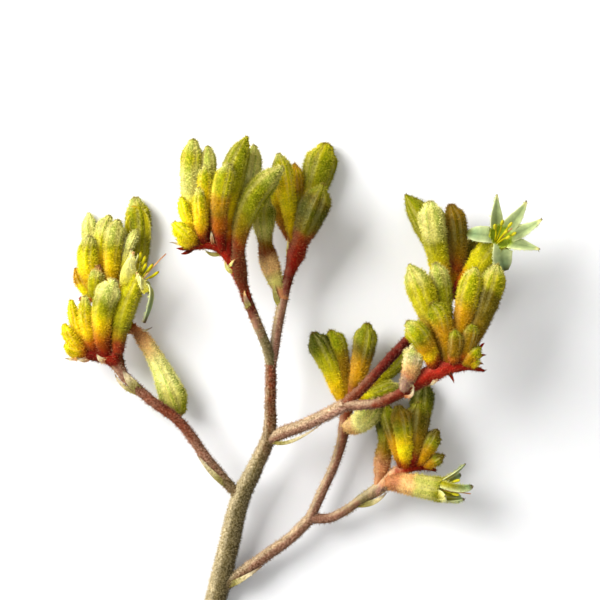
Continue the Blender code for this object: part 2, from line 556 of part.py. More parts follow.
def tube_point(bloom, t):
    """Centre, direction and radius of an open flower's tube; its mouth turns to its facing."""
    base, bend, mouth = Vector(bloom.base), Vector(bloom.bend), Vector(bloom.mouth)
    centre = bow(base, bend, mouth, t)
    direction = bow_direction(base, bend, mouth, t)
    direction = direction.lerp(Vector(bloom.facing).normalized(), t ** 3).normalized()
    small, middle, large = bloom.radii
    radius = small + (middle - small) * min(1.0, t / 0.5) + (large - middle) * max(0.0, t - 0.5) / 0.5
    return centre, direction, radius


def tube_ring(bloom, t, extra=0.0):
    """A ribbed ring of an open flower's tube."""
    centre, direction, radius = tube_point(bloom, t)
    return round_ring(centre, direction, radius + extra, FLOWER_SIDES, RIB_DEPTH * 0.6, tube_face(bloom))


def tube_face(bloom):
    """A direction that no part of an open flower's tube runs along."""
    return Vector(bloom.facing).cross(UP).cross(Vector(bloom.facing)).normalized()


def bloom_meshes(bloom):
    """The hollow tube and the six lobes of an open flower."""
    outer = [tube_ring(bloom, t) for t in TUBE_SHARES]
    inner = [tube_ring(bloom, t, -WALL_THICKNESS) for t in (1.0, 0.8, 1.0 - CUP_DEPTH)]
    return [loft(outer + inner)] + [lobe_mesh(lobe, bloom) for lobe in bloom.lobes]


def bloom_clearance(bloom):
    """The solid that an open flower's tube needs, with the gap round it."""
    rings = [tube_ring(bloom, t, PIECE_GAP) for t in TUBE_SHARES]
    centre, direction, radius = tube_point(bloom, 0.0)
    below = centre - direction * PIECE_GAP
    rings.insert(0, round_ring(below, direction, radius, FLOWER_SIDES, 0.0, tube_face(bloom)))
    return loft(rings)


def pedicel_mesh(bloom):
    """The short stalk that carries an open flower, up to the flower's base."""
    foot, base = Vector(bloom.foot), Vector(bloom.base)
    direction = tube_point(bloom, 0.0)[1]
    radius = bloom.radii[0] * 0.8
    rings = [round_ring(foot, (base - foot).normalized(), radius, BRANCH_SIDES)]
    rings.append(round_ring(base, direction, radius, BRANCH_SIDES))
    return loft(rings)


def stamen_meshes(stamens, bloom):
    """A knob on the tube's floor, the stamens with their anthers, and the style."""
    floor, direction, radius = tube_point(bloom, 1.0 - CUP_DEPTH)
    seat = floor + direction * PIECE_GAP
    face = tube_face(bloom)
    knob = [(0.0, 0.9), (0.8, 1.0), (1.6, 0.5)]
    meshes = [loft([round_ring(seat + direction * rise, direction, KNOB_RADIUS * share, KNOB_SIDES, 0.0, face)
                    for rise, share in knob])]
    start = seat + direction * 0.8
    mouth = tube_point(bloom, 1.0)[0]
    for tip in stamens.anthers:
        end = Vector(tip)
        middle = mouth.lerp((start + end) * 0.5, 0.6)
        meshes.append(thread_mesh(start, middle, end, FILAMENT_RADIUS, face))
        meshes.append(anther_mesh(middle, end, face, stamens.length))
    end = Vector(stamens.style)
    meshes.append(thread_mesh(start, mouth.lerp((start + end) * 0.5, 0.6), end, STYLE_RADIUS, face))
    return meshes


def thread_mesh(start, middle, end, radius, face):
    """A thin round thread."""
    rings = []
    for t in (0.0, 0.5, 1.0):
        centre = bow(start, middle, end, t)
        direction = bow_direction(start, middle, end, t)
        rings.append(round_ring(centre, direction, radius, THREAD_SIDES, 0.0, face))
    return loft(rings)


def anther_mesh(middle, end, face, length):
    """The long pollen sac at the end of a stamen."""
    direction = (end - middle).normalized()
    rings = []
    for t, share in ((-0.5, 0.35), (-0.3, 0.9), (0.25, 1.0), (0.5, 0.4)):
        centre = end + direction * length * t
        rings.append(round_ring(centre, direction, ANTHER_RADIUS * share, ANTHER_SIDES, 0.0, face))
    return loft(rings)


def boolean(base, name, operation, meshes):
    """The mesh of an object after one Boolean with a collection of meshes."""
    group = bpy.data.collections.new(name)
    bpy.context.scene.collection.children.link(group)
    for mesh in meshes:
        group.objects.link(bpy.data.objects.new(name, mesh))
    step = base.modifiers.new(name, "BOOLEAN")
    step.operation = operation
    step.operand_type = "COLLECTION"
    step.collection = group
    step.solver = "EXACT"
    view = bpy.context.evaluated_depsgraph_get()
    result = bpy.data.meshes.new_from_object(base.evaluated_get(view))
    base.modifiers.remove(step)
    for thing in list(group.objects):
        bpy.data.objects.remove(thing)
    bpy.data.collections.remove(group)
    base.data = result


def fused(name, meshes, surface, cutters=()):
    """One object of many meshes, fused, with room cut for its neighbours and a flat where it rests."""
    thing = bpy.data.objects.new(name, meshes[0])
    bpy.context.scene.collection.objects.link(thing)
    boolean(thing, "join", "UNION", meshes[1:])
    if cutters:
        boolean(thing, "room", "DIFFERENCE", list(cutters))
    if min(vert.co.z for vert in thing.data.vertices) < 0:
        boolean(thing, "rest", "DIFFERENCE", [ground_mesh()])
    merge_flat_faces(thing.data)
    thing.data.materials.clear()
    thing.data.materials.append(surface)
    thing.data.name = name
    return thing


def merge_flat_faces(mesh):
    """Join the faces that lie flat beside each other, which the fusing leaves in many strips."""
    body = bmesh.new()
    body.from_mesh(mesh)
    bmesh.ops.dissolve_limit(body, angle_limit=FLAT_ANGLE, verts=body.verts, edges=body.edges)
    bmesh.ops.triangulate(body, faces=body.faces)
    body.to_mesh(mesh)
    body.free()


def ground_mesh():
    """A slab whose top is the surface that the flower lies on."""
    slab = bmesh.new()
    bmesh.ops.create_cube(slab, size=1.0)
    bmesh.ops.scale(slab, verts=slab.verts, vec=(0.4, 0.4, 0.02))
    bmesh.ops.translate(slab, verts=slab.verts, vec=(0.0, 0.0, -0.01))
    mesh = bpy.data.meshes.new("ground")
    slab.to_mesh(mesh)
    slab.free()
    return mesh


def make_stem():
    """The branched stem, with a spur to each paw and its bracts."""
    scape = smooth_route(SCAPE)
    meshes = [stem_mesh(scape, 0.0, length_of(scape), STEM_SPACING, STEM_SIDES)]
    whole = list(scape)
    for branch in (LEFT_BRANCH, RIGHT_BRANCH, LOW_BRANCH):
        line = smooth_route(branch)
        whole.extend(line)
        meshes.append(stem_mesh(line, 0.0, length_of(line), BRANCH_SPACING, BRANCH_SIDES))
    for paw in PAWS:
        line = smooth_route(paw.stalk)
        meshes.append(stem_mesh(line, 0.0, paw.collar, BRANCH_SPACING, BRANCH_SIDES))
    meshes.extend(bract_mesh(bract, whole) for bract in STEM_BRACTS)
    return fused("stem", meshes, material("stem", STEM_COLOUR, 0.8))


def make_paw(paw, surface):
    """A paw: its stalk end, buds, flowers and bracts, fused."""
    line = smooth_route(paw.stalk)
    meshes = [stem_mesh(line, paw.collar + PIECE_GAP, length_of(line), STALK_SPACING, BRANCH_SIDES)]
    meshes.extend(flower_mesh(flower, nearest(line, flower.foot)) for flower in paw.flowers)
    meshes.extend(bract_mesh(bract, line) for bract in paw.bracts)
    cutters = []
    for bloom in BLOOMS:
        if bloom.paw == paw.node:
            meshes.append(pedicel_mesh(bloom))
            cutters.append(bloom_clearance(bloom))
    for node, neighbour, index in PRESSED:
        if node == paw.node:
            flower = neighbour.flowers[index]
            foot = nearest(smooth_route(neighbour.stalk), flower.foot)
            cutters.append(flower_mesh(flower, foot, PIECE_GAP))
    return fused(paw.node, meshes, surface, cutters)


def main():
    """Model the whole flower."""
    clear_scene()
    make_stem()
    front = material("paw", PAW_COLOUR, 0.7)
    rear = material("paw_rear", REAR_PAW_COLOUR, 0.7)
    for paw in PAWS:
        make_paw(paw, rear if paw.node.endswith("rear") else front)
    petal = material("petal", BLOOM_COLOUR, 0.5)
    pollen = material("pollen", STAMEN_COLOUR, 0.6)
    blooms = {bloom.node: bloom for bloom in BLOOMS}
    for bloom in BLOOMS:
        fused(bloom.node, bloom_meshes(bloom), petal)
    for stamens in STAMENS:
        fused(stamens.node, stamen_meshes(stamens, blooms[stamens.bloom]), pollen)


main()
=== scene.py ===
"""A kangaroo paw flower head, cut and laid down: the look of its stem, paws and open flowers.

One branched stem carries eight paws. A paw is a crimson stalk end with ribbed, woolly, tubular buds and
flowers. Tables hold millimetres, in a frame whose X runs to the right, whose Y runs towards the flower
tips and whose Z rises from the surface that the flower lies on. A mesh is put in metres as it is made.
"""
import math
from collections import namedtuple

import bmesh
import bpy
from bpy.props import FloatProperty, FloatVectorProperty, IntProperty, PointerProperty
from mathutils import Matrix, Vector, noise


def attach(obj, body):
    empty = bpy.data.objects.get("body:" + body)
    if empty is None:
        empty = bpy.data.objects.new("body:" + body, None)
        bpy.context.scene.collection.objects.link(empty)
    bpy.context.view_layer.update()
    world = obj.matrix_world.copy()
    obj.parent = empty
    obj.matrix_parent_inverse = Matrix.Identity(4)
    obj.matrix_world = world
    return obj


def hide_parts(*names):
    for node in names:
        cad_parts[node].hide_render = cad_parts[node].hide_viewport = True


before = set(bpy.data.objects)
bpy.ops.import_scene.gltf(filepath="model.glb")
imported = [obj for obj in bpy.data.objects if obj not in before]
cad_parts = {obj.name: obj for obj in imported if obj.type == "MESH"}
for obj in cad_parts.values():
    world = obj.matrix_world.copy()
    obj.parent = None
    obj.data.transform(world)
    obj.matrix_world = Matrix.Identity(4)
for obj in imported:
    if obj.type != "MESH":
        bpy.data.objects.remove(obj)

bl_info = {
    "name": "Kangaroo Paw Flower",
    "version": (1, 0, 0),
    "blender": (4, 5, 0),
    "location": "View3D > Sidebar > Kangaroo Paw",
    "description": "Models a woolly kangaroo paw flower head that lies on a pale floor",
    "category": "Object",
}

# Scale and place
MM = 0.001
BOX_MIDDLE = Vector((0.42, -39.23, 0.0))
UP = Vector((0.0, 0.0, 1.0))
WELD = 1e-6

# Square millimetres in a square metre
SQUARE_METRE = 1e6

# Thicknesses and fits in millimetres
BLADE_THICKNESS = 0.6
LOBE_THICKNESS = 0.9
WALL_THICKNESS = 0.9
ANTHER_RADIUS = 0.75
FILAMENT_RADIUS = 0.4
STYLE_RADIUS = 0.36
KNOT_LENGTH = 2.0
LOBE_ROOT = 0.8
PIECE_GAP = 0.35
TUCK = 1.5
UNDER_WOOL = 0.4

# Shares of an open flower's length: how far below its mouth the stamens start, and the depth of its throat
CUP_DEPTH = 0.42
THROAT_DEPTH = 0.1

# Shares in an open flower: of the wall outside its throat, of its first radius in its foot, of a bud's ribs
WALL_SHARE = 0.8
FOOT_SHARE = 0.8
TUBE_RIB_SHARE = 0.6

# Fineness of routes and shells: a step in millimetres, angles in degrees, and the rest are counts
CURVE_STEPS = 6
STALK_STEP = 0.8
SCAPE_SIDES = 32
STALK_SIDES = 24
TUBE_STEPS = 26
THROAT_STEPS = 10
BLADE_ROWS = 14
BLADE_SIDES = 16
LOBE_ROWS = 18
LOBE_SIDES = 24
THREAD_ROWS = 14
THREAD_SIDES = 8
ANTHER_ROWS = 12
ANTHER_SIDES = 20
DOME_ANGLES = (28.0, 55.0, 78.0, 90.0)

# A flower's ribs: their number, the exponent that rounds them, and their drift as a share of a turn
FLOWER_RIBS = 6
RIB_EXPONENT = 0.7
RIB_DRIFT = 0.035

# A flower's rounded ends, as shares of its radius: their height, and how the tip's ribs deepen and stand out
DOME_PUSH = 0.9
TIP_FOLD = 0.16
TIP_SCALLOP = 0.35

# How far up the rounded tip it turns dry, and how brown it is there
DRY_PUSH = 0.7
DRY_SHARE = 0.6

# How each flower is turned about its length: noise cells to the millimetre, and the most, in turns
ROLL_SCALE = 3.1
HALF_TURN = 0.5

# Dents in a flower: noise cells to the millimetre, and depth as a share of the radius
DENT_SCALE = 0.09
DENT_DEPTH = 0.14

# Where along a flower, from foot to tip, its ribs, its stripes and its wool grow to their full
RIB_SPAN = (0.4, 0.85)
TIP_RIB_SPAN = (0.75, 0.97)
STRIPE_SPAN = (0.38, 0.88)
TUBE_STRIPE_SPAN = (0.3, 0.8)
DOWN_SPAN = (0.05, 0.35)

# How thick the wool is on a blade, on a stalk where it joins the stem, and on a stalk in its paw
BLADE_DOWN = 0.7
JOIN_DOWN = 0.5
PAW_DOWN = 0.6

# How much a stalk narrows where it is tucked into another
TUCK_SHRINK = 0.2

# A stalk, in millimetres: how far ahead its direction is read, and the least radius that takes the painted
# highlight on its sunny rim
LOOK_AHEAD = 0.5
CLEAR_REACH = 0.1

# A blade's hollow as a share of its half width, below 0 where it bulges, and the exponents that round it
LOBE_CUP = 0.3
BRACT_CUP = -0.25
ROUND_BOWL = 2.0
SHARP_BOWL = 1.2

# The height round a blade, from -1 to 1, above which its outer face starts
OUTER_FACE = 0.1

# A blade's colours: their drift along it, the mottle, the dark crease, the darker half and the pale edge
BLADE_DRIFT = 0.05
BLADE_DRIFT_SCALE = 0.7
BLADE_MOTTLE = 0.22
BLADE_MOTTLE_SCALE = 1.3
CREASE_SHADE = 0.34
HALF_SHADE = 0.16
MARGIN_SHARE = 0.75

# Stamens: a thread's taper, its straightness, which is 1 where it runs straight, and an anther's groove,
# which is also painted darker as painted shade
THREAD_TAPER = 0.35
THREAD_STRAIGHTNESS = 0.6
GROOVE_DEPTH = 0.3
GROOVE_EXPONENT = 8

# Painted sun and shade: the side that faces the light is painted paler and the other side darker, by these
# shares
PAINTED_LIGHT_FROM = Vector((-0.80, 0.34, 0.50)).normalized()
FLOWER_PAINTED_SUN = 0.28
TUBE_PAINTED_SUN = 0.4
STALK_PAINTED_SUN = 0.6

# Painted highlight: how much of the wool's colour is painted where a skin faces the light, and how squarely
# it has to face it
FLOWER_PAINTED_HIGHLIGHT = 0.26
STALK_PAINTED_HIGHLIGHT = 0.5
FLOWER_PAINTED_HIGHLIGHT_SPAN = (0.6, 0.98)
STALK_PAINTED_HIGHLIGHT_SPAN = (0.55, 0.95)

# How much of its colour a flower or a tube keeps, and how much that changes from flower to flower
FLOWER_LIGHT = 0.74
FLOWER_LIGHT_CHANGE = 0.08
TUBE_LIGHT = 0.76

# Hairs: how many hair lengths over the floor they start, their lean, their sizes and their sides
FLOOR_CLEARANCE = 1.2
HAIR_LEAN = 0.75
HAIR_SIZES = (0.45, 1.15)
HAIR_SIDES = 3

# The colour of the hairs: how much brighter than the skin, and how many noise cells lie in a metre
HAIR_GAIN = 1.45
HAIR_SCALE = 2600.0

# How rough and how glossy a hair is, and the share of pale hairs on the stem and on a flower
HAIR_ROUGHNESS = 0.6
HAIR_GLOSS = 0.03
STEM_PALE_HAIRS = 0.65
FLOWER_PALE_HAIRS = 0.55

# Pale hairs: their share grows with the blue of the skin, from a base up to a limit
PALE_BY_BLUE = 3.5
PALE_BASE = 0.14
PALE_LIMIT = 0.8

# The noise values over which a hair turns pale, and how far a skin's pale share lowers them
PALE_FROM = 0.62
PALE_TO = 0.7
PALE_SHIFT = 0.3

# Broad patches on a skin: noise cells to the metre, and the share of its colour that the darkest keeps
BROAD_SCALE = 240.0
DARKEST_PATCH = 0.5

# The grain of a skin: the detail of its noise, the strength and height in metres of its bump, and its sheen
GRAIN_DETAIL = 2.0
BUMP_STRENGTH = 0.6
BUMP_HEIGHT = 0.0003
SHEEN_ROUGHNESS = 0.4

# The stage in metres
FLOOR_HALF = 1.5
KEY_PLACE = (-0.70, 0.42, 0.70)
FILL_PLACE = (0.3, 0.2, 1.2)
KEY_SIZE = 0.7
FILL_SIZE = 1.0

# The floor: noise cells to the metre, how much of that grain shows, and how rough it is
FLOOR_SCALE = 300.0
FLOOR_GRAIN = 0.03
FLOOR_ROUGHNESS = 0.9

# The camera in millimetres
LENS = 150.0
SENSOR = 36.0

Flower = namedtuple("Flower", "foot bend tip width form tone")
Bract = namedtuple("Bract", "foot bend tip width tone")
Paw = namedtuple("Paw", "node tone stalk collar flowers bracts")
Bloom = namedtuple("Bloom", "node paw tone foot base bend mouth facing radii lobes")
Lobe = namedtuple("Lobe", "bend tip width form tone")
Flap = namedtuple("Flap", "node foot bend tip width tone")
Stamens = namedtuple("Stamens", "node bloom tone length anthers style")
Mark = namedtuple("Mark", "point skin rib down")
Grain = namedtuple("Grain", "wave_scale wave_depth drift mottle_scale mottle_depth")
Band = namedtuple("Band", "low high share")
Finish = namedtuple("Finish", "name hairs pale_share roots pits grain_scale roughness gloss sheen")

# Unevenness of a flower, a stalk and a tube: waves in its shape, which also shift its colours, and a mottle
FLOWER_GRAIN = Grain(0.2, 0.06, 0.08, 0.5, 0.22)
STALK_GRAIN = Grain(0.35, 0.07, 0.1, 0.8, 0.3)
TUBE_GRAIN = Grain(0.3, 0.05, 0.06, 0.6, 0.12)

# The rows that round off the foot of an open flower: place along it, share of its radius, and push
TUBE_FOOT = [(0.0, 0.0, -1.0), (0.0, 0.5, -0.85), (0.0, 0.8, -0.6), (0.0, 0.95, -0.3)]

# Each form gives the radius along a flower, from foot to tip, as a share of its half width
BUD = ((0.0, 0.32), (0.22, 0.60), (0.5, 0.85), (0.76, 1.0), (0.91, 0.86), (1.0, 0.36))
SMALL_BUD = ((0.0, 0.46), (0.28, 0.84), (0.6, 1.0), (0.86, 0.92), (1.0, 0.50))
POINTED = ((0.0, 0.32), (0.22, 0.58), (0.5, 0.86), (0.7, 1.0), (0.87, 0.80), (1.0, 0.22))
PLUMP = ((0.0, 0.50), (0.25, 0.76), (0.55, 0.90), (0.78, 1.0), (0.92, 0.92), (1.0, 0.5))
STALKED = (
    (0.0, 0.36), (0.12, 0.46), (0.23, 0.64), (0.36, 0.56), (0.5, 0.76), (0.74, 1.0), (0.9, 0.82), (1.0, 0.32)
)
BLUNT = ((0.0, 0.32), (0.3, 0.58), (0.6, 0.86), (0.8, 1.0), (0.93, 0.95), (1.0, 0.6))
WAISTED = (
    (0.0, 0.54), (0.16, 0.66), (0.34, 0.86), (0.46, 0.84), (0.6, 0.66), (0.8, 0.96), (0.92, 0.94), (1.0, 0.56)
)
WITHERED = ((0.0, 0.38), (0.26, 0.40), (0.36, 0.60), (0.66, 0.74), (0.86, 1.0), (0.95, 1.0), (1.0, 0.7))
POINTED_LOBE = ((0.0, 1.0), (0.35, 0.92), (0.7, 0.5), (1.0, 0.12))
BLUNT_LOBE = ((0.0, 0.9), (0.4, 1.0), (0.8, 0.84), (1.0, 0.4))
HOOD = ((0.0, 1.0), (0.4, 1.0), (0.75, 0.82), (1.0, 0.35))
BRACT_FORM = ((0.0, 0.7), (0.4, 1.0), (0.75, 0.62), (1.0, 0.1))
ANTHER_FORM = ((0.0, 0.35), (0.2, 0.85), (0.5, 1.0), (0.8, 0.92), (1.0, 0.4))

# The stem: routes from the cut end and from each fork, as X, Y, Z and radius
SCAPE = (
    (-38.4, -142.0, 3.8, 4.1),
    (-35.6, -128.0, 4.2, 4.05),
    (-33.0, -116.8, 5.6, 4.0),
    (-28.0, -96.0, 9.0, 3.85),
    (-24.0, -80.0, 12.5, 3.6),
    (-17.2, -65.6, 16.2, 2.95),
    (-12.4, -54.0, 19.0, 2.5),
    (-11.8, -40.0, 21.6, 2.05),
    (-11.6, -25.6, 24.0, 2.05),
)
LEFT_BRANCH = (
    (-23.6, -79.2, 12.8, 2.0),
    (-27.6, -75.6, 13.6, 2.0),
    (-37.2, -64.0, 15.6, 1.95),
    (-48.0, -49.2, 17.2, 1.9),
    (-60.0, -40.0, 17.6, 1.9),
    (-70.4, -30.8, 17.5, 1.9),
)
RIGHT_BRANCH = (
    (-12.8, -56.0, 18.4, 2.4),
    (-6.0, -52.6, 22.0, 2.35),
    (0.0, -50.4, 25.0, 2.3),
    (10.0, -45.6, 29.8, 2.3),
    (17.2, -41.6, 33.0, 2.3),
)
LOW_BRANCH = (
    (-33.0, -117.2, 6.0, 2.4),
    (-24.0, -110.8, 7.4, 2.3),
    (-14.0, -103.6, 8.3, 2.2),
    (-3.6, -96.0, 9.2, 2.15),
    (4.0, -88.4, 10.0, 2.15),
)
STEM_BRACTS = (
    Bract((-26.4, -78.0, 14.0), (-34.8, -69.8, 17.0), (-41.2, -61.8, 18.6), 2.4, "green_bract"),
    Bract((-14.0, -56.4, 20.0), (-4.0, -56.4, 24.6), (8.6, -49.0, 30.2), 1.6, "green_bract"),
    Bract((-33.0, -115.6, 8.6), (-24.6, -113.4, 9.6), (-15.2, -107.4, 10.4), 2.4, "green_bract"),
    Bract((-62.8, -37.2, 18.6), (-67.6, -32.8, 20.2), (-70.8, -28.0, 21.0), 3.8, "green_bract"),
    Bract((-62.8, -39.6, 17.6), (-70.0, -35.0, 17.8), (-74.2, -29.6, 18.6), 1.8, "green_bract"),
)

LEFT_FRONT = Paw(
    "paw_left_front", "left_stalk",
    ((-70.4, -30.8, 17.5, 1.9), (-72.6, -27.6, 17.5, 2.0), (-74.8, -24.4, 17.6, 2.6),
     (-78.0, -22.8, 17.8, 2.6), (-82.0, -22.2, 18.0, 2.3), (-86.0, -22.2, 18.2, 1.9),
     (-90.4, -23.2, 18.4, 1.1)),
    5.0,
    (
        Flower((-77.2, -22.8), (-79.0, -8.0, 22.5), (-74.8, 6.4, 24.0), 10.0, PLUMP, "pale_front"),
        Flower((-80.8, -22.4), (-84.8, -12.0, 20.0), (-86.0, 0.4, 20.5), 6.4, SMALL_BUD, "lime_bud"),
        Flower((-82.8, -22.4), (-88.2, -14.0, 17.8), (-91.6, -0.8, 18.5), 5.4, SMALL_BUD, "bud"),
        Flower((-84.0, -22.4), (-89.6, -18.0, 20.2), (-94.0, -10.4, 20.5), 5.6, SMALL_BUD, "bud"),
        Flower((-85.2, -22.6), (-88.8, -20.8, 20.5), (-93.6, -18.4, 21.0), 5.0, SMALL_BUD, "bud"),
        Flower((-87.0, -22.6), (-89.6, -22.0, 18.8), (-92.8, -21.2, 19.0), 3.2, SMALL_BUD, "bud"),
    ),
    (
        Bract((-77.0, -24.2, 19.0), (-79.2, -24.0, 21.0), (-81.2, -21.4, 21.8), 2.6, "dry_bract"),
        Bract((-83.2, -22.8, 19.0), (-86.4, -24.0, 20.0), (-89.2, -23.0, 21.0), 2.2, "dry_bract"),
        Bract((-88.0, -23.0, 18.4), (-91.0, -23.6, 18.8), (-94.2, -23.2, 19.0), 1.6, "dry_bract"),
    ),
)
LEFT_REAR = Paw(
    "paw_left_rear", "russet_stalk",
    ((-70.4, -30.8, 17.0, 1.8), (-71.6, -28.6, 14.4, 1.75), (-73.0, -24.0, 11.5, 1.7),
     (-73.2, -18.0, 10.0, 1.7), (-72.4, -12.0, 9.2, 1.7), (-72.8, -6.0, 8.8, 1.7),
     (-76.0, -2.0, 8.4, 1.6), (-81.2, 0.0, 8.2, 1.5), (-85.6, 0.4, 8.4, 1.2),
     (-89.2, 0.4, 8.6, 0.7)),
    8.0,
    (
        Flower((-83.0, 0.2), (-84.0, 15.2, 5.3), (-86.0, 34.6, 2.4), 7.4, BUD, "pale"),
        Flower((-77.2, -1.4), (-80.4, 17.6, 9.0), (-77.4, 33.0, 7.8), 7.2, PLUMP, "sage_tip"),
        Flower((-75.2, -2.8), (-75.8, 15.2, 12.2), (-73.6, 30.8, 12.8), 8.2, PLUMP, "sage_tip"),
        Flower((-80.4, -0.2), (-85.2, 11.6, 11.4), (-84.8, 24.2, 11.6), 8.6, SMALL_BUD, "plump_bud"),
        Flower((-72.6, -7.2), (-66.0, 15.8, 5.8), (-66.8, 39.8, 3.8), 9.8, PLUMP, "opening"),
        Flower((-83.6, 0.2), (-87.2, 5.2, 9.4), (-90.4, 12.0, 9.6), 5.6, SMALL_BUD, "lemon_bud"),
        Flower((-81.6, 0.0), (-82.8, 5.2, 12.4), (-81.4, 12.8, 13.4), 6.6, SMALL_BUD, "lime_pale"),
        Flower((-72.6, -7.6), (-60.8, -19.4, 9.8), (-49.4, -43.8, 9.2), 10.2, WITHERED, "withered"),
        Flower((-72.6, -7.2), (-71.0, 13.6, 11.8), (-66.1, 27.8, 12.2), 4.4, PLUMP, "sage_bud"),
    ),
    (
        Bract((-72.4, -12.0, 9.2), (-66.0, -13.0, 10.4), (-59.6, -11.0, 11.6), 1.6, "dry_bract"),
    ),
)
MIDDLE_FRONT = Paw(
    "paw_middle_front", "crimson_stalk",
    ((-11.6, -25.6, 24.0, 2.0), (-12.8, -20.0, 25.5, 1.95), (-15.6, -12.8, 27.0, 1.9),
     (-18.4, -6.0, 28.5, 1.9), (-20.8, 0.0, 30.0, 1.95), (-22.8, 6.0, 31.5, 2.0),
     (-27.2, 15.2, 33.5, 2.0), (-31.2, 20.0, 34.5, 1.9), (-36.0, 21.8, 35.0, 1.8),
     (-42.0, 21.2, 35.0, 1.4), (-46.4, 20.4, 35.0, 0.8)),
    16.0,
    (
        Flower((-20.0, -2.0), (-23.4, 27.6, 36.0), (-7.6, 51.6, 37.0), 10.6, STALKED, "stalked"),
        Flower((-26.8, 14.6), (-28.2, 40.0, 37.0), (-21.0, 63.8, 36.5), 10.2, POINTED, "tipped"),
        Flower((-30.4, 19.2), (-31.4, 36.0, 42.6), (-28.2, 51.6, 43.0), 8.2, PLUMP, "amber_tip"),
        Flower((-26.0, 13.6), (-22.0, 38.0, 29.5), (-18.2, 60.4, 28.5), 8.4, BUD, "green_tip"),
        Flower((-35.6, 21.6), (-37.2, 37.6, 40.0), (-37.0, 52.0, 40.5), 6.2, BUD, "lime_bud"),
        Flower((-37.6, 21.8), (-42.8, 38.0, 34.2), (-42.2, 61.8, 33.0), 8.8, PLUMP, "cream_tip"),
        Flower((-34.4, 21.4), (-36.0, 39.2, 33.6), (-36.4, 59.6, 32.0), 7.0, PLUMP, "sage_tip"),
        Flower((-39.2, 21.6), (-43.6, 30.4, 37.5), (-46.4, 39.6, 38.0), 5.4, SMALL_BUD, "bright"),
        Flower((-37.6, 21.8), (-38.8, 31.2, 42.0), (-39.4, 42.8, 43.0), 5.8, SMALL_BUD, "lime_bud"),
        Flower((-40.2, 21.4), (-44.4, 25.2, 40.0), (-48.8, 29.4, 40.5), 6.6, SMALL_BUD, "bright"),
        Flower((-42.0, 21.2), (-44.6, 22.4, 37.4), (-47.8, 23.6, 38.0), 4.4, SMALL_BUD, "bright"),
    ),
    (
        Bract((-19.4, -4.6, 30.0), (-21.0, -1.0, 32.0), (-22.0, 3.6, 33.0), 2.4, "rose_bract"),
        Bract((-27.2, 9.4, 33.0), (-28.4, 12.2, 34.8), (-29.6, 15.6, 35.8), 1.8, "pale_bract"),
        Bract((-28.4, 13.2, 34.4), (-27.2, 14.0, 36.4), (-25.6, 16.0, 37.8), 1.4, "pale_bract"),
        Bract((-31.6, 17.4, 33.4), (-34.4, 18.0, 32.6), (-37.4, 19.8, 32.4), 1.8, "leaf_bract"),
        Bract((-41.0, 20.6, 34.6), (-46.0, 21.8, 34.4), (-50.8, 22.8, 34.6), 1.6, "dry_bract"),
        Bract((-42.4, 20.4, 35.4), (-45.8, 20.2, 36.2), (-48.6, 20.4, 36.4), 1.6, "red_bract"),
        Bract((-41.4, 20.6, 34.4), (-44.2, 19.0, 34.0), (-47.0, 18.2, 33.8), 1.8, "red_bract"),
        Bract((-34.0, 21.8, 36.2), (-34.6, 24.4, 38.4), (-34.8, 27.2, 39.6), 1.5, "dry_bract"),
    ),
)
MIDDLE_REAR = Paw(
    "paw_middle_rear", "rose_stalk",
    ((-11.6, -25.6, 24.0, 2.0), (-10.4, -20.0, 23.3, 1.95), (-8.8, -10.0, 22.3, 1.9),
     (-7.2, -2.0, 21.2, 1.9), (-5.6, 6.0, 19.8, 2.0), (-3.6, 12.8, 18.4, 2.0),
     (-2.4, 18.4, 17.4, 1.9), (-2.4, 22.8, 16.8, 1.6)),
    16.0,
    (
        Flower((-4.4, 9.6), (1.8, 27.6, 22.8), (8.8, 44.8, 24.5), 12.6, STALKED, "shaded"),
        Flower((-2.4, 20.4), (3.8, 40.0, 9.6), (10.0, 60.6, 4.6), 12.4, BLUNT, "leaf_tip"),
        Flower((-2.4, 20.4), (-1.2, 38.0, 12.0), (-2.2, 54.4, 10.0), 6.6, BUD, "amber"),
        Flower((-2.4, 20.8), (-4.8, 38.8, 20.8), (-8.4, 57.6, 21.5), 8.2, BUD, "gold_rear"),
        Flower((-2.4, 20.0), (-7.4, 34.0, 9.4), (-13.2, 46.0, 2.6), 8.2, BUD, "orange_rear"),
        Flower((-6.6, 1.2), (-13.2, 19.2, 18.0), (-14.2, 39.4, 18.0), 9.4, WAISTED, "waisted"),
    ),
    (
        Bract((-8.2, -3.6, 22.8), (-9.8, 1.6, 23.0), (-10.2, 6.6, 22.6), 2.2, "leaf_bract"),
        Bract((-4.0, 12.0, 19.0), (-4.8, 18.0, 19.6), (-4.8, 25.0, 19.6), 1.6, "pale_bract"),
    ),
)
RIGHT_REAR = Paw(
    "paw_right_rear", "dark_stalk",
    ((17.2, -41.6, 33.0, 2.1), (23.2, -36.4, 32.0, 2.0), (30.8, -28.4, 30.0, 1.95),
     (38.0, -20.8, 28.0, 1.95), (44.0, -14.8, 26.0, 1.95), (50.0, -8.8, 23.0, 1.95),
     (55.2, -2.8, 20.0, 1.9), (59.2, 0.8, 18.4, 1.8), (62.6, 2.4, 18.0, 1.3),
     (65.4, 1.2, 18.0, 0.6)),
    36.0,
    (
        Flower((57.6, -0.4), (54.2, 22.8, 8.2), (43.4, 42.2, 3.0), 10.6, POINTED, "lime_green"),
        Flower((58.4, 0.2), (54.6, 20.0, 22.3), (52.0, 37.4, 22.5), 10.2, PLUMP, "pale_tip"),
        Flower((60.0, 1.4), (63.0, 20.0, 15.5), (61.0, 36.6, 14.6), 9.6, PLUMP, "brown_olive"),
        Flower((60.8, 1.8), (66.0, 14.4, 7.3), (71.8, 24.2, 2.2), 7.8, BUD, "dark"),
    ),
    (),
)
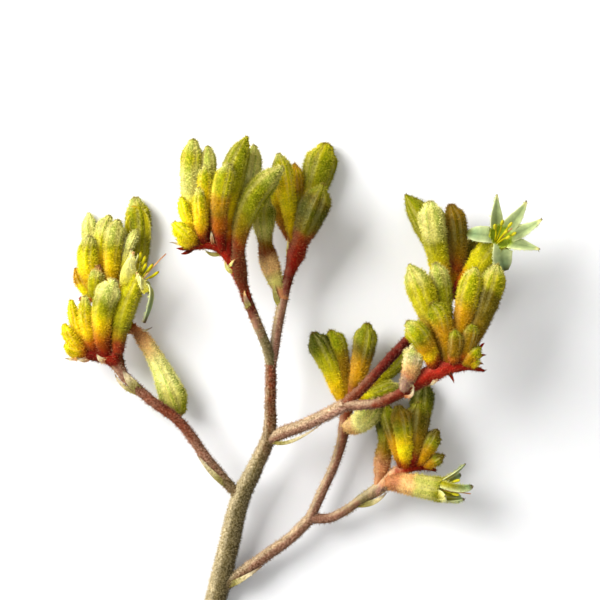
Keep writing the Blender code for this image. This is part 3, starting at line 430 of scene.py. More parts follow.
RIGHT_FRONT = Paw(
    "paw_right_front", "pink_stalk",
    ((17.2, -41.6, 33.0, 2.0), (24.0, -41.4, 35.0, 1.95), (31.2, -40.4, 37.0, 1.9),
     (39.2, -36.8, 38.5, 2.0), (45.6, -32.6, 39.5, 2.7), (51.2, -29.0, 40.0, 3.5),
     (57.2, -26.4, 40.5, 3.0), (63.2, -25.6, 41.0, 2.2), (68.4, -26.6, 41.0, 1.1),
     (72.2, -27.8, 41.0, 0.5)),
    16.0,
    (
        Flower((54.4, -28.0), (50.4, -4.6, 38.0), (43.2, 13.4, 37.0), 11.2, POINTED, "sage_green"),
        Flower((56.8, -26.8), (56.8, -3.0, 35.6), (53.6, 13.2, 35.0), 8.0, PLUMP, "leaf_sage"),
        Flower((58.0, -26.4), (56.2, -11.6, 43.4), (52.2, -2.4, 44.0), 8.6, PLUMP, "golden"),
        Flower((60.4, -26.0), (64.0, -6.4, 41.0), (68.6, 11.6, 40.8), 9.4, BUD, "lime_tip"),
        Flower((62.0, -25.8), (71.4, -6.4, 40.0), (77.2, 12.8, 39.8), 9.8, BUD, "shade_lime"),
        Flower((53.2, -28.6), (49.0, -17.8, 45.8), (42.8, -9.6, 46.4), 8.8, PLUMP, "gold_sage"),
        Flower((59.6, -26.2), (60.4, -19.6, 46.4), (60.4, -12.6, 47.0), 5.8, SMALL_BUD, "dull_bud"),
        Flower((62.0, -25.8), (65.2, -18.2, 44.6), (67.2, -10.6, 45.0), 6.8, SMALL_BUD, "dull_bud"),
        Flower((64.0, -25.6), (66.4, -22.4, 44.4), (69.6, -19.0, 45.0), 6.0, SMALL_BUD, "golden"),
        Flower((65.6, -25.8), (67.6, -24.8, 43.4), (69.6, -23.6, 44.0), 4.0, SMALL_BUD, "lime_bud"),
        Flower((40.0, -36.8), (43.2, -28.0, 42.0), (45.0, -18.8, 43.0), 8.2, PLUMP, "faded"),
    ),
    (
        Bract((67.0, -21.6, 43.6), (69.6, -19.4, 44.4), (72.0, -16.8, 44.8), 1.6, "red_bract"),
        Bract((67.4, -22.6, 43.0), (70.0, -22.2, 43.4), (72.6, -21.6, 43.6), 1.6, "red_bract"),
        Bract((66.8, -25.0, 42.0), (69.2, -25.0, 42.6), (71.6, -24.8, 42.8), 1.6, "red_bract"),
        Bract((56.4, -27.2, 41.0), (58.8, -29.2, 41.8), (60.2, -32.4, 41.6), 1.6, "red_bract"),
        Bract((53.6, -28.8, 41.2), (52.8, -31.4, 42.2), (50.4, -33.4, 43.0), 2.0, "dry_bract"),
        Bract((39.4, -37.8, 39.8), (43.4, -37.4, 42.0), (44.2, -32.6, 43.4), 1.5, "dry_bract"),
    ),
)
LOW_REAR = Paw(
    "paw_low_rear", "brown_stalk",
    ((4.0, -88.4, 10.0, 2.0), (8.8, -77.6, 10.0, 1.9), (13.6, -67.2, 10.2, 1.8),
     (16.4, -58.8, 10.6, 1.9), (18.0, -51.2, 11.0, 2.3), (18.8, -44.8, 11.5, 2.3),
     (21.0, -39.6, 12.0, 2.1), (25.6, -37.0, 12.0, 1.7), (31.0, -36.0, 12.0, 1.0)),
    28.0,
    (
        Flower((18.8, -44.4), (12.4, -28.0, 12.6), (6.0, -14.8, 12.6), 9.2, PLUMP, "moss_tip"),
        Flower((19.2, -43.6), (16.8, -26.4, 11.0), (12.8, -13.8, 11.0), 8.6, PLUMP, "ochre_leaf"),
        Flower((20.4, -41.2), (24.2, -26.4, 12.6), (27.0, -11.2, 12.6), 9.2, PLUMP, "amber_leaf"),
        Flower((26.0, -37.0), (34.8, -29.2, 6.3), (43.2, -19.6, 2.5), 8.6, BUD, "green"),
        Flower((21.0, -39.6), (30.0, -38.2, 13.4), (39.0, -34.6, 12.6), 7.6, BUD, "green"),
        Flower((18.0, -50.2), (23.8, -49.4, 15.2), (30.0, -41.0, 16.6), 9.8, PLUMP, "peach_sage"),
    ),
    (),
)
LOW_FRONT = Paw(
    "paw_low_front", "bark_stalk",
    ((4.0, -88.4, 10.0, 2.0), (12.0, -88.0, 10.2, 1.9), (18.0, -85.2, 10.5, 1.8),
     (23.2, -81.6, 10.8, 1.8), (28.0, -78.6, 11.0, 2.3), (32.0, -75.8, 11.3, 2.7),
     (35.2, -72.8, 11.8, 2.9), (38.8, -69.8, 12.2, 2.6), (44.0, -67.4, 12.5, 2.2),
     (49.6, -67.2, 12.6, 1.4), (54.8, -68.6, 12.6, 0.6)),
    15.0,
    (
        Flower((31.6, -76.4), (33.8, -60.4, 11.4), (34.4, -43.6, 7.0), 8.2, WAISTED, "rusty"),
        Flower((41.0, -68.6), (38.4, -56.4, 17.4), (34.8, -43.8, 16.6), 7.0, PLUMP, "amber_leaf"),
        Flower((42.4, -68.0), (41.6, -56.0, 18.8), (39.6, -44.0, 19.0), 9.2, PLUMP, "yellow_olive"),
        Flower((44.8, -67.4), (46.6, -56.0, 16.6), (47.6, -43.0, 16.2), 9.6, PLUMP, "brown_ochre"),
        Flower((46.0, -67.2), (48.0, -52.0, 7.0), (50.4, -35.2, 3.6), 9.8, BLUNT, "moss_tip"),
        Flower((47.2, -67.2), (50.8, -60.0, 16.2), (54.6, -53.2, 16.6), 7.4, SMALL_BUD, "amber_olive"),
        Flower((49.6, -67.2), (53.2, -65.0, 15.0), (57.0, -62.8, 15.6), 5.4, SMALL_BUD, "amber_olive"),
    ),
    (
        Bract((21.6, -83.4, 11.0), (29.2, -81.6, 12.2), (35.0, -77.6, 12.8), 2.4, "green_bract"),
    ),
)
PAWS = (LEFT_FRONT, LEFT_REAR, MIDDLE_FRONT, MIDDLE_REAR, RIGHT_REAR, RIGHT_FRONT, LOW_REAR, LOW_FRONT)

# Open flowers: a tube with six lobes round its mouth. The radii are at base, middle and mouth
BLOOMS = (
    Bloom(
        "open_flower_left", "paw_left_front", "left_tube",
        (-75.0, -24.2, 17.8), (-72.8, -19.6, 19.4), (-71.0, -6.4, 20.4),
        (-64.6, 9.0, 21.6), (0.84, 0.52, 0.12), (2.4, 4.2, 4.5),
        (
            Lobe((-68.2, 15.2, 24.0), (-67.2, 20.4, 24.2), 6.6, POINTED_LOBE, "lime_lobe"),
            Lobe((-63.2, 7.4, 27.0), (-62.4, 4.0, 27.4), 4.0, BLUNT_LOBE, "cream_lobe"),
            Lobe((-59.4, 3.2, 26.4), (-62.2, -9.0, 24.0), 3.8, BLUNT_LOBE, "green_lobe"),
            Lobe((-60.6, 6.0, 18.6), (-60.6, 2.6, 16.4), 3.8, BLUNT_LOBE, "green_lobe"),
            Lobe((-62.6, 12.4, 17.4), (-62.4, 15.0, 17.0), 4.2, POINTED_LOBE, "green_lobe"),
            Lobe((-65.4, 15.4, 18.4), (-64.8, 18.6, 18.0), 4.4, POINTED_LOBE, "lime_lobe"),
        ),
    ),
    Bloom(
        "open_flower_right", "paw_right_rear", "right_tube",
        (60.6, 1.8, 18.4), (64.2, 5.8, 20.0), (73.2, 16.0, 22.8),
        (79.6, 25.2, 29.6), (0.32, 0.34, 0.88), (2.6, 4.9, 5.1),
        (
            Lobe((77.4, 35.2, 31.0), (77.8, 41.8, 32.0), 6.0, POINTED_LOBE, "pale_lobe"),
            Lobe((86.2, 33.6, 31.6), (89.4, 39.0, 33.6), 6.0, POINTED_LOBE, "pale_lobe"),
            Lobe((90.0, 28.2, 31.4), (95.6, 32.0, 33.4), 6.0, POINTED_LOBE, "pale_lobe"),
            Lobe((89.0, 21.2, 31.6), (94.8, 20.0, 32.4), 6.0, POINTED_LOBE, "pale_lobe"),
            Lobe((79.8, 16.4, 29.8), (81.6, 12.0, 25.0), 8.4, HOOD, "blue_lobe"),
            Lobe((71.4, 25.8, 30.8), (66.6, 26.6, 27.6), 7.0, HOOD, "blue_lobe"),
        ),
    ),
    Bloom(
        "open_flower_low", "paw_low_front", "low_tube",
        (34.6, -74.2, 12.0), (37.0, -73.2, 13.6), (46.6, -74.4, 16.4),
        (57.0, -76.2, 18.2), (0.90, -0.16, 0.40), (3.2, 4.2, 4.6),
        (
            Lobe((62.2, -68.8, 19.2), (66.2, -65.4, 20.4), 4.6, POINTED_LOBE, "green_lobe"),
            Lobe((63.4, -74.6, 23.6), (68.6, -74.0, 23.2), 4.4, BLUNT_LOBE, "green_lobe"),
            Lobe((62.0, -80.4, 19.4), (65.6, -79.6, 20.6), 4.8, BLUNT_LOBE, "green_lobe"),
            Lobe((57.2, -78.8, 23.6), (57.6, -77.8, 26.4), 4.8, POINTED_LOBE, "cream_lobe"),
            Lobe((61.6, -71.6, 14.2), (64.6, -70.0, 13.6), 4.2, BLUNT_LOBE, "green_lobe"),
            Lobe((61.8, -79.0, 13.2), (64.4, -81.2, 12.4), 4.4, BLUNT_LOBE, "green_lobe"),
        ),
    ),
)

# Stamens and style: each rises from deep in the tube and leaves the mouth. The points are the tips
STAMENS = (
    Stamens("stamens_left", "open_flower_left", "olive_anther", 4.8,
            ((-63.9, 17.0, 22.0), (-62.4, 15.6, 22.4), (-62.2, 12.8, 22.8), (-60.0, 12.6, 22.8),
             (-58.2, 10.0, 22.0)),
            (-53.4, 18.4, 24.0)),
    Stamens("stamens_right", "open_flower_right", "anther", 3.0,
            ((76.9, 28.8, 33.8), (79.7, 30.4, 34.4), (82.8, 29.6, 34.6), (81.0, 26.6, 35.2),
             (84.2, 26.0, 34.4), (81.8, 24.6, 35.6)),
            (83.4, 28.2, 36.4)),
    Stamens("stamens_low", "open_flower_low", "anther", 3.4,
            ((62.4, -72.4, 20.4), (61.2, -74.4, 20.2), (62.6, -75.8, 20.4), (62.0, -77.6, 21.2),
             (63.2, -76.6, 17.6)),
            (68.0, -77.2, 24.0)),
)

# Petals that lie over a darker heart: on a flower that begins to open, and on the left open flower
FLAPS = (
    Flap("paw_left_rear", (-67.4, 24.0, 8.6), (-69.8, 29.8, 8.8), (-67.8, 36.0, 7.6), 3.4, "flap"),
    Flap("paw_left_rear", (-62.0, 24.4, 7.4), (-63.0, 34.4, 7.8), (-68.0, 38.0, 7.4), 3.0, "flap"),
    Flap("open_flower_left", (-68.6, 5.8, 25.0), (-67.8, 13.2, 26.2), (-66.2, 19.2, 25.2), 7.0, "cream_flap"),
    Flap("open_flower_left", (-60.8, 3.2, 27.4), (-63.2, 7.6, 27.6), (-65.0, 11.0, 27.0), 3.6, "cream_flap"),
)

# Colours from foot to tip, each after the share of the length where it is reached
TONES = {
    "bud": "0 crimson 0.1 crimson 0.26 orange 0.42 amber 0.58 yellow 0.8 yellow 1 lemon",
    "bright": "0 crimson 0.1 crimson 0.26 amber 0.42 yellow 0.6 lemon 1 lemon",
    "lemon_bud": "0 crimson 0.1 orange 0.22 yellow 0.3 lemon 0.52 lemon 0.7 amber 1 amber",
    "plump_bud": "0 orange 0.3 amber 0.5 yellow 0.7 lemon 0.85 lime 1 sage",
    "lime_pale": "0 amber 0.3 leaf 0.5 lime 0.7 lime 0.88 sage 1 blush",
    "sage_bud": "0 orange 0.3 amber 0.5 lime 0.66 sage 0.85 cream 1 sage",
    "lime_bud": "0 crimson 0.14 crimson 0.3 orange 0.48 yellow 0.7 yellow 0.88 lime 1 sage",
    "dull_bud": "0 crimson 0.12 crimson 0.3 orange 0.45 ochre 0.8 ochre 1 leaf",
    "golden": "0 orange 0.15 ochre 0.35 amber 0.55 amber 0.75 lime 1 leaf",
    "pale_front": "0 crimson 0.14 crimson 0.25 orange 0.34 amber 0.5 yellow 0.62 lime 0.72 leaf 0.84 sage "
                  "1 cream",
    "sage_tip": "0 crimson 0.1 orange 0.3 amber 0.5 yellow 0.68 lime 0.85 sage 1 sage",
    "pale": "0 orange 0.2 amber 0.35 lime 0.55 sage 0.85 sage 1 cream",
    "opening": "0 crimson 0.06 rust 0.14 leaf 0.3 lime 0.46 leaf 0.62 leaf 0.86 leaf 0.95 lime 1 sage",
    "withered": "0 rust 0.1 olive 0.22 rust 0.3 blush 0.46 peach 0.62 cream 0.78 cream 0.9 sage 1 leaf",
    "stalked": "0 wine 0.12 russet 0.3 russet 0.42 rust 0.5 ochre 0.64 leaf 0.85 leaf 1 sage",
    "tipped": "0 crimson 0.1 crimson 0.24 orange 0.4 yellow 0.56 lime 0.75 leaf 0.9 leaf 1 lime",
    "amber_tip": "0 crimson 0.16 crimson 0.32 orange 0.46 ochre 0.58 amber 0.72 lime 0.9 lime 1 sage",
    "green_tip": "0 orange 0.3 yellow 0.5 lemon 0.7 cream 0.84 sage 1 sage",
    "cream_tip": "0 orange 0.15 amber 0.32 yellow 0.5 lemon 0.62 sage 0.76 sage 0.9 lime 1 sage",
    "shaded": "0 fawn 0.07 crimson 0.2 crimson 0.32 crimson 0.42 rust 0.52 olive 0.7 moss 0.86 olive 1 leaf",
    "leaf_tip": "0 orange 0.3 amber 0.5 yellow 0.66 leaf 0.85 leaf 1 lime",
    "amber": "0 crimson 0.2 orange 0.5 leaf 0.7 amber 0.9 yellow 1 amber",
    "gold_rear": "0 crimson 0.16 amber 0.3 yellow 0.5 lemon 0.7 yellow 0.86 lime 1 sage",
    "orange_rear": "0 crimson 0.2 orange 0.5 amber 0.7 yellow 0.9 lime 1 leaf",
    "waisted": "0 blush 0.1 blush 0.2 sage 0.3 peach 0.4 peach 0.5 rust 0.6 ochre 0.72 sage 0.9 leaf 1 sage",
    "lime_green": "0 amber 0.3 lime 0.55 leaf 0.9 leaf 1 leaf",
    "pale_tip": "0 amber 0.25 amber 0.4 lime 0.55 leaf 0.7 sage 0.88 sage 1 cream",
    "brown_olive": "0 amber 0.15 amber 0.3 rust 0.45 ochre 0.7 olive 0.88 ochre 1 ochre",
    "dark": "0 crimson 0.3 rust 0.6 olive 1 olive",
    "sage_green": "0 orange 0.2 ochre 0.35 ochre 0.5 lime 0.72 lime 0.88 sage 1 sage",
    "leaf_sage": "0 ochre 0.4 leaf 0.7 leaf 0.88 sage 1 sage",
    "lime_tip": "0 amber 0.3 amber 0.55 amber 0.75 lime 0.9 lime 1 sage",
    "shade_lime": "0 ochre 0.3 ochre 0.5 olive 0.7 olive 0.88 lime 1 sage",
    "gold_sage": "0 crimson 0.12 crimson 0.2 orange 0.3 yellow 0.5 amber 0.7 leaf 0.86 lime 1 sage",
    "faded": "0 wine 0.1 rose 0.3 rose 0.45 blush 0.62 peach 0.8 wool 0.92 sage 1 wool",
    "moss_tip": "0 blush 0.12 amber 0.3 yellow 0.5 lime 0.7 leaf 0.88 moss 1 moss",
    "ochre_leaf": "0 amber 0.3 ochre 0.5 ochre 0.85 leaf 1 leaf",
    "amber_leaf": "0 crimson 0.12 rust 0.3 amber 0.5 amber 0.7 olive 0.88 leaf 1 leaf",
    "green": "0 rust 0.15 amber 0.3 lime 0.55 leaf 0.85 leaf 1 sage",
    "peach_sage": "0 peach 0.34 peach 0.5 cream 0.8 sage 1 leaf",
    "rusty": "0 blush 0.34 blush 0.48 ochre 0.62 leaf 0.75 moss 0.88 moss 1 leaf",
    "yellow_olive": "0 crimson 0.1 orange 0.25 yellow 0.36 lemon 0.52 yellow 0.7 leaf 0.88 ochre 1 olive",
    "brown_ochre": "0 crimson 0.14 crimson 0.24 rust 0.38 ochre 0.55 ochre 0.72 olive 0.88 olive 1 leaf",
    "amber_olive": "0 crimson 0.14 orange 0.3 amber 0.5 amber 0.7 leaf 0.88 olive 1 olive",
    "stem": "0 bark 0.6 bark 1 russet",
    "left_branch": "0 bark 0.3 fawn 0.65 russet 1 fawn",
    "right_branch": "0 fawn 0.3 fawn 1 rose",
    "low_branch": "0 bark 0.4 fawn 1 fawn",
    "crimson_stalk": "0 bark 0.15 bark 0.3 fawn 0.42 wine 0.5 crimson 1 crimson",
    "dark_stalk": "0 russet 0.15 russet 0.3 wine 0.7 wine 1 crimson",
    "pink_stalk": "0 fawn 0.18 fawn 0.27 russet 0.42 wine 0.56 crimson 0.7 scarlet 0.84 crimson 1 wine",
    "russet_stalk": "0 russet 0.5 russet 0.8 crimson 1 crimson",
    "left_stalk": "0 fawn 0.16 fawn 0.24 wine 0.4 crimson 0.7 wine 0.84 crimson 0.92 peach 1 peach",
    "rose_stalk": "0 rose 0.2 fawn 0.52 fawn 0.66 wine 1 crimson",
    "bark_stalk": "0 fawn 0.3 fawn 0.45 bark 0.55 rose 0.66 blush 0.78 crimson 1 wine",
    "brown_stalk": "0 fawn 0.35 fawn 0.7 russet 1 russet",
    "flap": "0 leaf 0.4 lime 0.8 lime 1 amber",
    "cream_flap": "0 lime 0.35 sage 0.8 cream 1 blush",
    "green_bract": "0 olive 0.4 husk 0.75 wool 1 brown",
    "pale_bract": "0 lime 0.3 sage 0.7 cream 1 peach",
    "leaf_bract": "0 leaf 0.4 husk 0.8 husk 1 sage",
    "rose_bract": "0 leaf 0.4 husk 0.7 rose 1 peach",
    "dry_bract": "0 crimson 0.3 blush 0.75 wool 1 brown",
    "red_bract": "0 wine 0.5 wine 0.8 crimson 1 brown",
    "left_tube": "0 crimson 0.08 rust 0.2 ochre 0.36 leaf 0.6 lime 1 lime",
    "right_tube": "0 crimson 0.08 orange 0.18 amber 0.3 lime 0.6 lime 0.8 leaf 1 leaf",
    "low_tube": "0 blush 0.12 blush 0.25 peach 0.42 peach 0.54 sage 0.75 sage 1 leaf",
    "throat": "0 throat 1 throat",
    "pale_lobe": "0 throat 0.14 petal 0.8 petal 0.93 cream 1 brown",
    "blue_lobe": "0 petal 0.35 petal 0.75 glaucous 1 moss",
    "lime_lobe": "0 lime 0.4 lime 0.8 sage 1 brown",
    "cream_lobe": "0 lime 0.4 sage 0.9 cream 1 brown",
    "green_lobe": "0 lime 0.3 leaf 0.85 glaucous 1 brown",
    "anther": "0 leaf 0.3 pollen 1 pollen",
    "olive_anther": "0 olive 0.3 leaf 0.8 lime 1 olive",
    "filament": "0 lime 1 lime",
    "style": "0 lime 0.7 peach 1 blush",
}

# Bands across a rib, 0 in the furrow and 1 on the crest: where each starts and is full, and its strength
# The seam band paints the furrows darker: partly the seam's own colour, partly painted shade in the crease
SEAM_AND_PAINTED_SHADE = Band(0.16, 0.02, 0.35)
HEART = Band(0.6, 0.92, 1.0)
EDGE = Band(0.62, 0.2, 0.32)
SEAM_AND_SHADE_TINT = (0.42, 0.40, 0.22, 1.0)
HEART_TINT = (0.58, 0.74, 0.36, 1.0)
PIT_TINT = (0.46, 0.42, 0.26, 1.0)

# The grain of hair roots: the noise values over which a pale root and a dark pit appear
ROOT_SPAN = (0.5, 0.64)
PIT_SPAN = (0.5, 0.38)

# The skins: the colour of their hairs, their grain in cells to the metre, and how they shine
FINISHES = (
    Finish("stem_skin", "wool", 0.7, 0.8, 0.85, 1250.0, 0.8, 0.05, 0.1),
    Finish("flower_skin", "cream", 0.35, 0.55, 0.22, 1400.0, 0.7, 0.03, 0.1),
    Finish("petal_skin", "cream", 0.3, 0.5, 0.3, 1400.0, 0.5, 0.1, 0.0),
    Finish("pollen_skin", "cream", 0.3, 0.2, 0.3, 2400.0, 0.6, 0.1, 0.0),
)


def screen(red, green, blue):
    """A colour as it shows on screen, from 0 to 255, as linear light."""
    return tuple(((part / 255 + 0.055) / 1.055) ** 2.4 for part in (red, green, blue))


def colour(name, words, red, green, blue):
    """A colour that the sidebar shows."""
    return FloatVectorProperty(name=name, description=words, subtype="COLOR", size=3, min=0.0, max=1.0,
                               default=screen(red, green, blue))


class PawColours(bpy.types.PropertyGroup):
    """The colours of the flower head, named as a gardener would."""

    wine: colour("Wine", "Darkest red, on stalks in shade", 84, 16, 10)
    crimson: colour("Crimson", "Red of the stalk ends and flower feet", 126, 22, 10)
    scarlet: colour("Scarlet", "Bright red of a lit stalk", 170, 40, 28)
    rust: colour("Rust", "Red brown where red fades into green", 136, 56, 16)
    orange: colour("Orange", "Between the red foot and the yellow", 180, 94, 4)
    ochre: colour("Ochre", "Brownish yellow", 148, 110, 2)
    amber: colour("Amber", "Orange yellow", 194, 142, 2)
    yellow: colour("Yellow", "Yellow of the young buds", 226, 194, 2)
    lemon: colour("Lemon", "The brightest yellow", 240, 222, 14)
    lime: colour("Lime", "Yellow green", 192, 180, 6)
    leaf: colour("Leaf", "Green of the flower tips", 150, 144, 8)
    olive: colour("Olive", "Brownish green in the upper tube", 112, 92, 2)
    moss: colour("Moss", "Darkest green", 82, 82, 4)
    sage: colour("Sage", "Pale green under pale wool", 206, 198, 102)
    cream: colour("Cream", "Pale wool and pale tips", 238, 232, 146)
    peach: colour("Peach", "Pale orange pink of a fading tube", 222, 174, 110)
    blush: colour("Blush", "Pinkish brown of a withered tube", 186, 120, 76)
    bark: colour("Bark", "Brown green of the old stem", 98, 86, 54)
    russet: colour("Russet", "Red brown of the upper stem", 104, 44, 24)
    wool: colour("Wool", "Pale wool of the stem", 214, 198, 160)
    fawn: colour("Fawn", "Pinkish brown of a branch", 122, 84, 66)
    brown: colour("Brown", "Dry tips", 84, 44, 16)
    throat: colour("Throat", "Green inside an open flower", 190, 212, 56)
    rose: colour("Rose", "Pink of a woolly stalk", 150, 110, 94)
    petal: colour("Petal", "Inner face of an open lobe", 164, 180, 118)
    margin: colour("Margin", "Pale edge of a lobe", 228, 232, 172)
    glaucous: colour("Glaucous", "Blue green of a rolled lobe", 128, 152, 100)
    husk: colour("Husk", "Dull green of the small leaves on the stem", 160, 150, 84)
    pollen: colour("Pollen", "Yellow of the anthers", 196, 186, 34)


class FlowerShape(bpy.types.PropertyGroup):
    """How finely the flowers are made, and how deep their ribs are."""

    sides: IntProperty(name="Sides", description="Points round a flower", default=48, min=12, max=96)
    rows: IntProperty(name="Rows", description="Rows from foot to tip", default=34, min=8, max=80)
    rib_depth: FloatProperty(name="Rib Depth", description="Depth of a rib as a share of the radius",
                             default=0.09, min=0.0, max=0.3, subtype="FACTOR")


class WoolShape(bpy.types.PropertyGroup):
    """The short wool that covers stem and flowers."""

    length: FloatProperty(name="Length", description="Length of a hair", default=0.00118,
                          min=0.0001, max=0.003, unit="LENGTH")
    radius: FloatProperty(name="Radius", description="Radius of a hair at its root", default=0.00015,
                          min=0.00001, max=0.0003, unit="LENGTH")
    density: FloatProperty(name="Density", description="Hairs on a square millimetre", default=3.1,
                           min=0.0, max=8.0)


class StageLook(bpy.types.PropertyGroup):
    """The floor, the lights and the camera."""

    floor: colour("Floor", "Colour of the floor", 246, 246, 246)
    key: FloatProperty(name="Key Light", description="Power of the key light", default=17.0,
                       min=0.0, subtype="POWER")
    fill: FloatProperty(name="Fill Light", description="Power of the fill light", default=1.5,
                        min=0.0, subtype="POWER")
    sky: FloatProperty(name="Sky", description="Strength of the light from all sides", default=0.5, min=0.0)
    height: FloatProperty(name="Camera Height", description="Height of the camera over the floor",
                          default=1.02, min=0.2, unit="LENGTH")


def smooth_route(spots):
    """A smooth line of points through the spots of a route, each with its radius."""
    spots = [Vector(here) for here in spots]
    reach = [spots[0] * 2 - spots[1], *spots, spots[-1] * 2 - spots[-2]]
    line = []
    for before, start, end, after in zip(reach, reach[1:], reach[2:], reach[3:]):
        for step in range(CURVE_STEPS):
            t = step / CURVE_STEPS
            linear = (end - before) * t
            square = (before * 2 - start * 5 + end * 4 - after) * t ** 2
            cube = (start * 3 - before - end * 3 + after) * t ** 3
            line.append((start * 2 + linear + square + cube) * 0.5)
    line.append(spots[-1].copy())
    return line


def length_of(line):
    """The length of a line of points."""
    return sum((end - start).to_3d().length for start, end in zip(line, line[1:]))


def point_at(line, distance):
    """The point and radius at a distance along a line, which runs on straight past its ends."""
    for start, end in zip(line, line[1:]):
        step = (end - start).to_3d().length
        if distance <= step:
            break
        distance -= step
    else:
        distance += step
    return start.lerp(end, distance / step)


def nearest(line, foot):
    """The point of a line that is nearest to a foot, which has X and Y or all three."""
    size = len(foot)
    return min(line, key=lambda here: (Vector(here[:size]) - Vector(foot)).length).to_3d()


def bow(start, middle, end, t):
    """The point at t on the curve from start to end that passes the middle half way."""
    control = middle * 2 - (start + end) * 0.5
    return start * (1 - t) ** 2 + control * 2 * t * (1 - t) + end * t ** 2


def bow_direction(start, middle, end, t):
    """The direction of that curve at t."""
    control = middle * 2 - (start + end) * 0.5
    return ((control - start) * (1 - t) + (end - control) * t).normalized()


def share_at(form, t):
    """The share of the half width that a form gives at t, on a smooth curve through its steps."""
    index = next((i for i, step in enumerate(form) if t <= step[0] and i > 0), len(form) - 1)

    def slope(knot):
        low, high = max(knot - 1, 0), min(knot + 1, len(form) - 1)
        return (form[high][1] - form[low][1]) / (form[high][0] - form[low][0])

    start, end = form[index - 1], form[index]
    span = end[0] - start[0]
    u = (t - start[0]) / span
    rise = (2 * u ** 3 - 3 * u ** 2 + 1) * start[1] + (3 * u ** 2 - 2 * u ** 3) * end[1]
    return rise + span * ((u ** 3 - 2 * u ** 2 + u) * slope(index - 1) + (u ** 3 - u ** 2) * slope(index))


def ease(low, high, value):
    """From 0 at low to 1 at high, smoothly."""
    u = min(1.0, max(0.0, (value - low) / (high - low)))
    return u * u * (3 - 2 * u)


def ramp(colours, tone):
    """The steps of a tone as places and colours."""
    words = TONES[tone].split()
    return [(float(place), Vector(getattr(colours, name))) for place, name in zip(words[::2], words[1::2])]


def shade(steps, t):
    """The colour of a ramp at t."""
    for (start, low), (end, high) in zip(steps, steps[1:]):
        if t <= end:
            return low.lerp(high, max(0.0, t - start) / (end - start))
    return steps[-1][1].copy()


def paint_sun_and_shade(skin, outward, amount):
    """A colour with painted light: made paler on the side that faces the light, and deeper on the other as
    painted shade.
    """
    return skin * (1 + amount * outward.normalized().dot(PAINTED_LIGHT_FROM)) if outward.length > 0.01 else skin


def ring_point(centre, direction, facing, angle, reach):
    """A point round a line."""
    side = direction.cross(facing).normalized()
    face = side.cross(direction)
    return centre + side * math.cos(angle) * reach + face * math.sin(angle) * reach


def row_place(row, rows):
    """How far along a piece a row lies, and 0 on the rows that close its two ends, else 1."""
    return min(max(row - 1, 0), rows) / rows, 0.0 if row in (0, rows + 2) else 1.0


def new_body():
    """An empty mesh with the layers that the materials and the wool read."""
    body = bmesh.new()
    body.verts.layers.float_color.new("Skin")
    body.verts.layers.float.new("Rib")
    body.verts.layers.float.new("Down")
    body.loops.layers.uv.new("Along")
    return body


def shell(body, sides, rows, place):
    """A closed shell: a grid rolled into a tube, whose first and last rows close to a point."""
    grid = bmesh.ops.create_grid(body, x_segments=sides, y_segments=rows, size=0.5, calc_uvs=True)
    skin = body.verts.layers.float_color["Skin"]
    rib = body.verts.layers.float["Rib"]
    down = body.verts.layers.float["Down"]
    for vert in grid["verts"]:
        row = round((vert.co.y + 0.5) * rows)
        mark = place((vert.co.x + 0.5) % 1.0, row)
        vert.co = (mark.point - BOX_MIDDLE) * MM
        vert.co.z = max(vert.co.z, 0.0)
        vert[skin] = (*mark.skin, 1.0)
        vert[rib] = mark.rib
        vert[down] = mark.down
    bmesh.ops.remove_doubles(body, verts=grid["verts"], dist=WELD)


def add_flower(body, flower, foot, shape, colours):
    """A ribbed, closed flower from its rounded foot on the stalk to its tip."""
    bend, tip = Vector(flower.bend), Vector(flower.tip)
    arcs = [(math.cos(math.radians(a)), math.sin(math.radians(a))) for a in DOME_ANGLES]
    rows = [(0.0, shrink, -push) for shrink, push in reversed(arcs)]
    rows.extend((index / shape.rows, 1.0, 0.0) for index in range(shape.rows + 1))
    rows.extend((1.0, shrink, push) for shrink, push in arcs)
    steps = ramp(colours, flower.tone)
    seed = Vector(flower.tip)
    roll = noise.noise(seed * ROLL_SCALE) * HALF_TURN
    lit = FLOWER_LIGHT + FLOWER_LIGHT_CHANGE * noise.noise(seed)
    grain = FLOWER_GRAIN

    def place(turn, row):
        t, shrink, push = rows[row]
        direction = bow_direction(foot, bend, tip, t)
        whole = share_at(flower.form, t) * flower.width / 2 - UNDER_WOOL
        centre = bow(foot, bend, tip, t) + direction * push * whole * DOME_PUSH
        crest = abs(math.cos(math.pi * FLOWER_RIBS * turn))
        depth = shape.rib_depth * (0.1 + 0.9 * ease(*RIB_SPAN, t)) * (1 + 0.9 * ease(*TIP_RIB_SPAN, t))
        depth += TIP_FOLD * max(0.0, push) ** 2
        centre = centre + direction * whole * TIP_SCALLOP * max(0.0, push) * (crest - 0.6)
        reach = whole * shrink * (1 + depth * (2 * crest ** RIB_EXPONENT - 1))
        angle = 2 * math.pi * (turn + roll + RIB_DRIFT * math.sin(FLOWER_RIBS * math.pi * turn))
        here = ring_point(centre, direction, UP, angle, reach)
        wave = noise.noise(here * grain.wave_scale + seed)
        dent = noise.noise(here * DENT_SCALE + seed)
        uneven = 1 + grain.wave_depth * wave - DENT_DEPTH * max(0.0, dent)
        here = ring_point(centre, direction, UP, angle, reach * uneven)
        mottle = 1 + grain.mottle_depth * noise.noise(here * grain.mottle_scale)
        skin = shade(steps, t + grain.drift * wave) * lit * mottle
        # Painted light: the side that faces the light is painted paler, the far side darker as painted shade
        skin = paint_sun_and_shade(skin, here - centre, FLOWER_PAINTED_SUN)
        # Painted highlight: wool colour laid on the side that faces the light
        pale = ease(*FLOWER_PAINTED_HIGHLIGHT_SPAN, (here - centre).normalized().dot(PAINTED_LIGHT_FROM)) * min(1.0, 0.2 + skin.z * 6)
        skin = skin.lerp(Vector(colours.wool), FLOWER_PAINTED_HIGHLIGHT * pale)
        if push > DRY_PUSH:
            skin = skin.lerp(Vector(colours.brown), DRY_SHARE)
        return Mark(here, skin, ease(*STRIPE_SPAN, t), 0.3 + 0.7 * ease(*DOWN_SPAN, t))

    shell(body, shape.sides, len(rows) - 1, place)


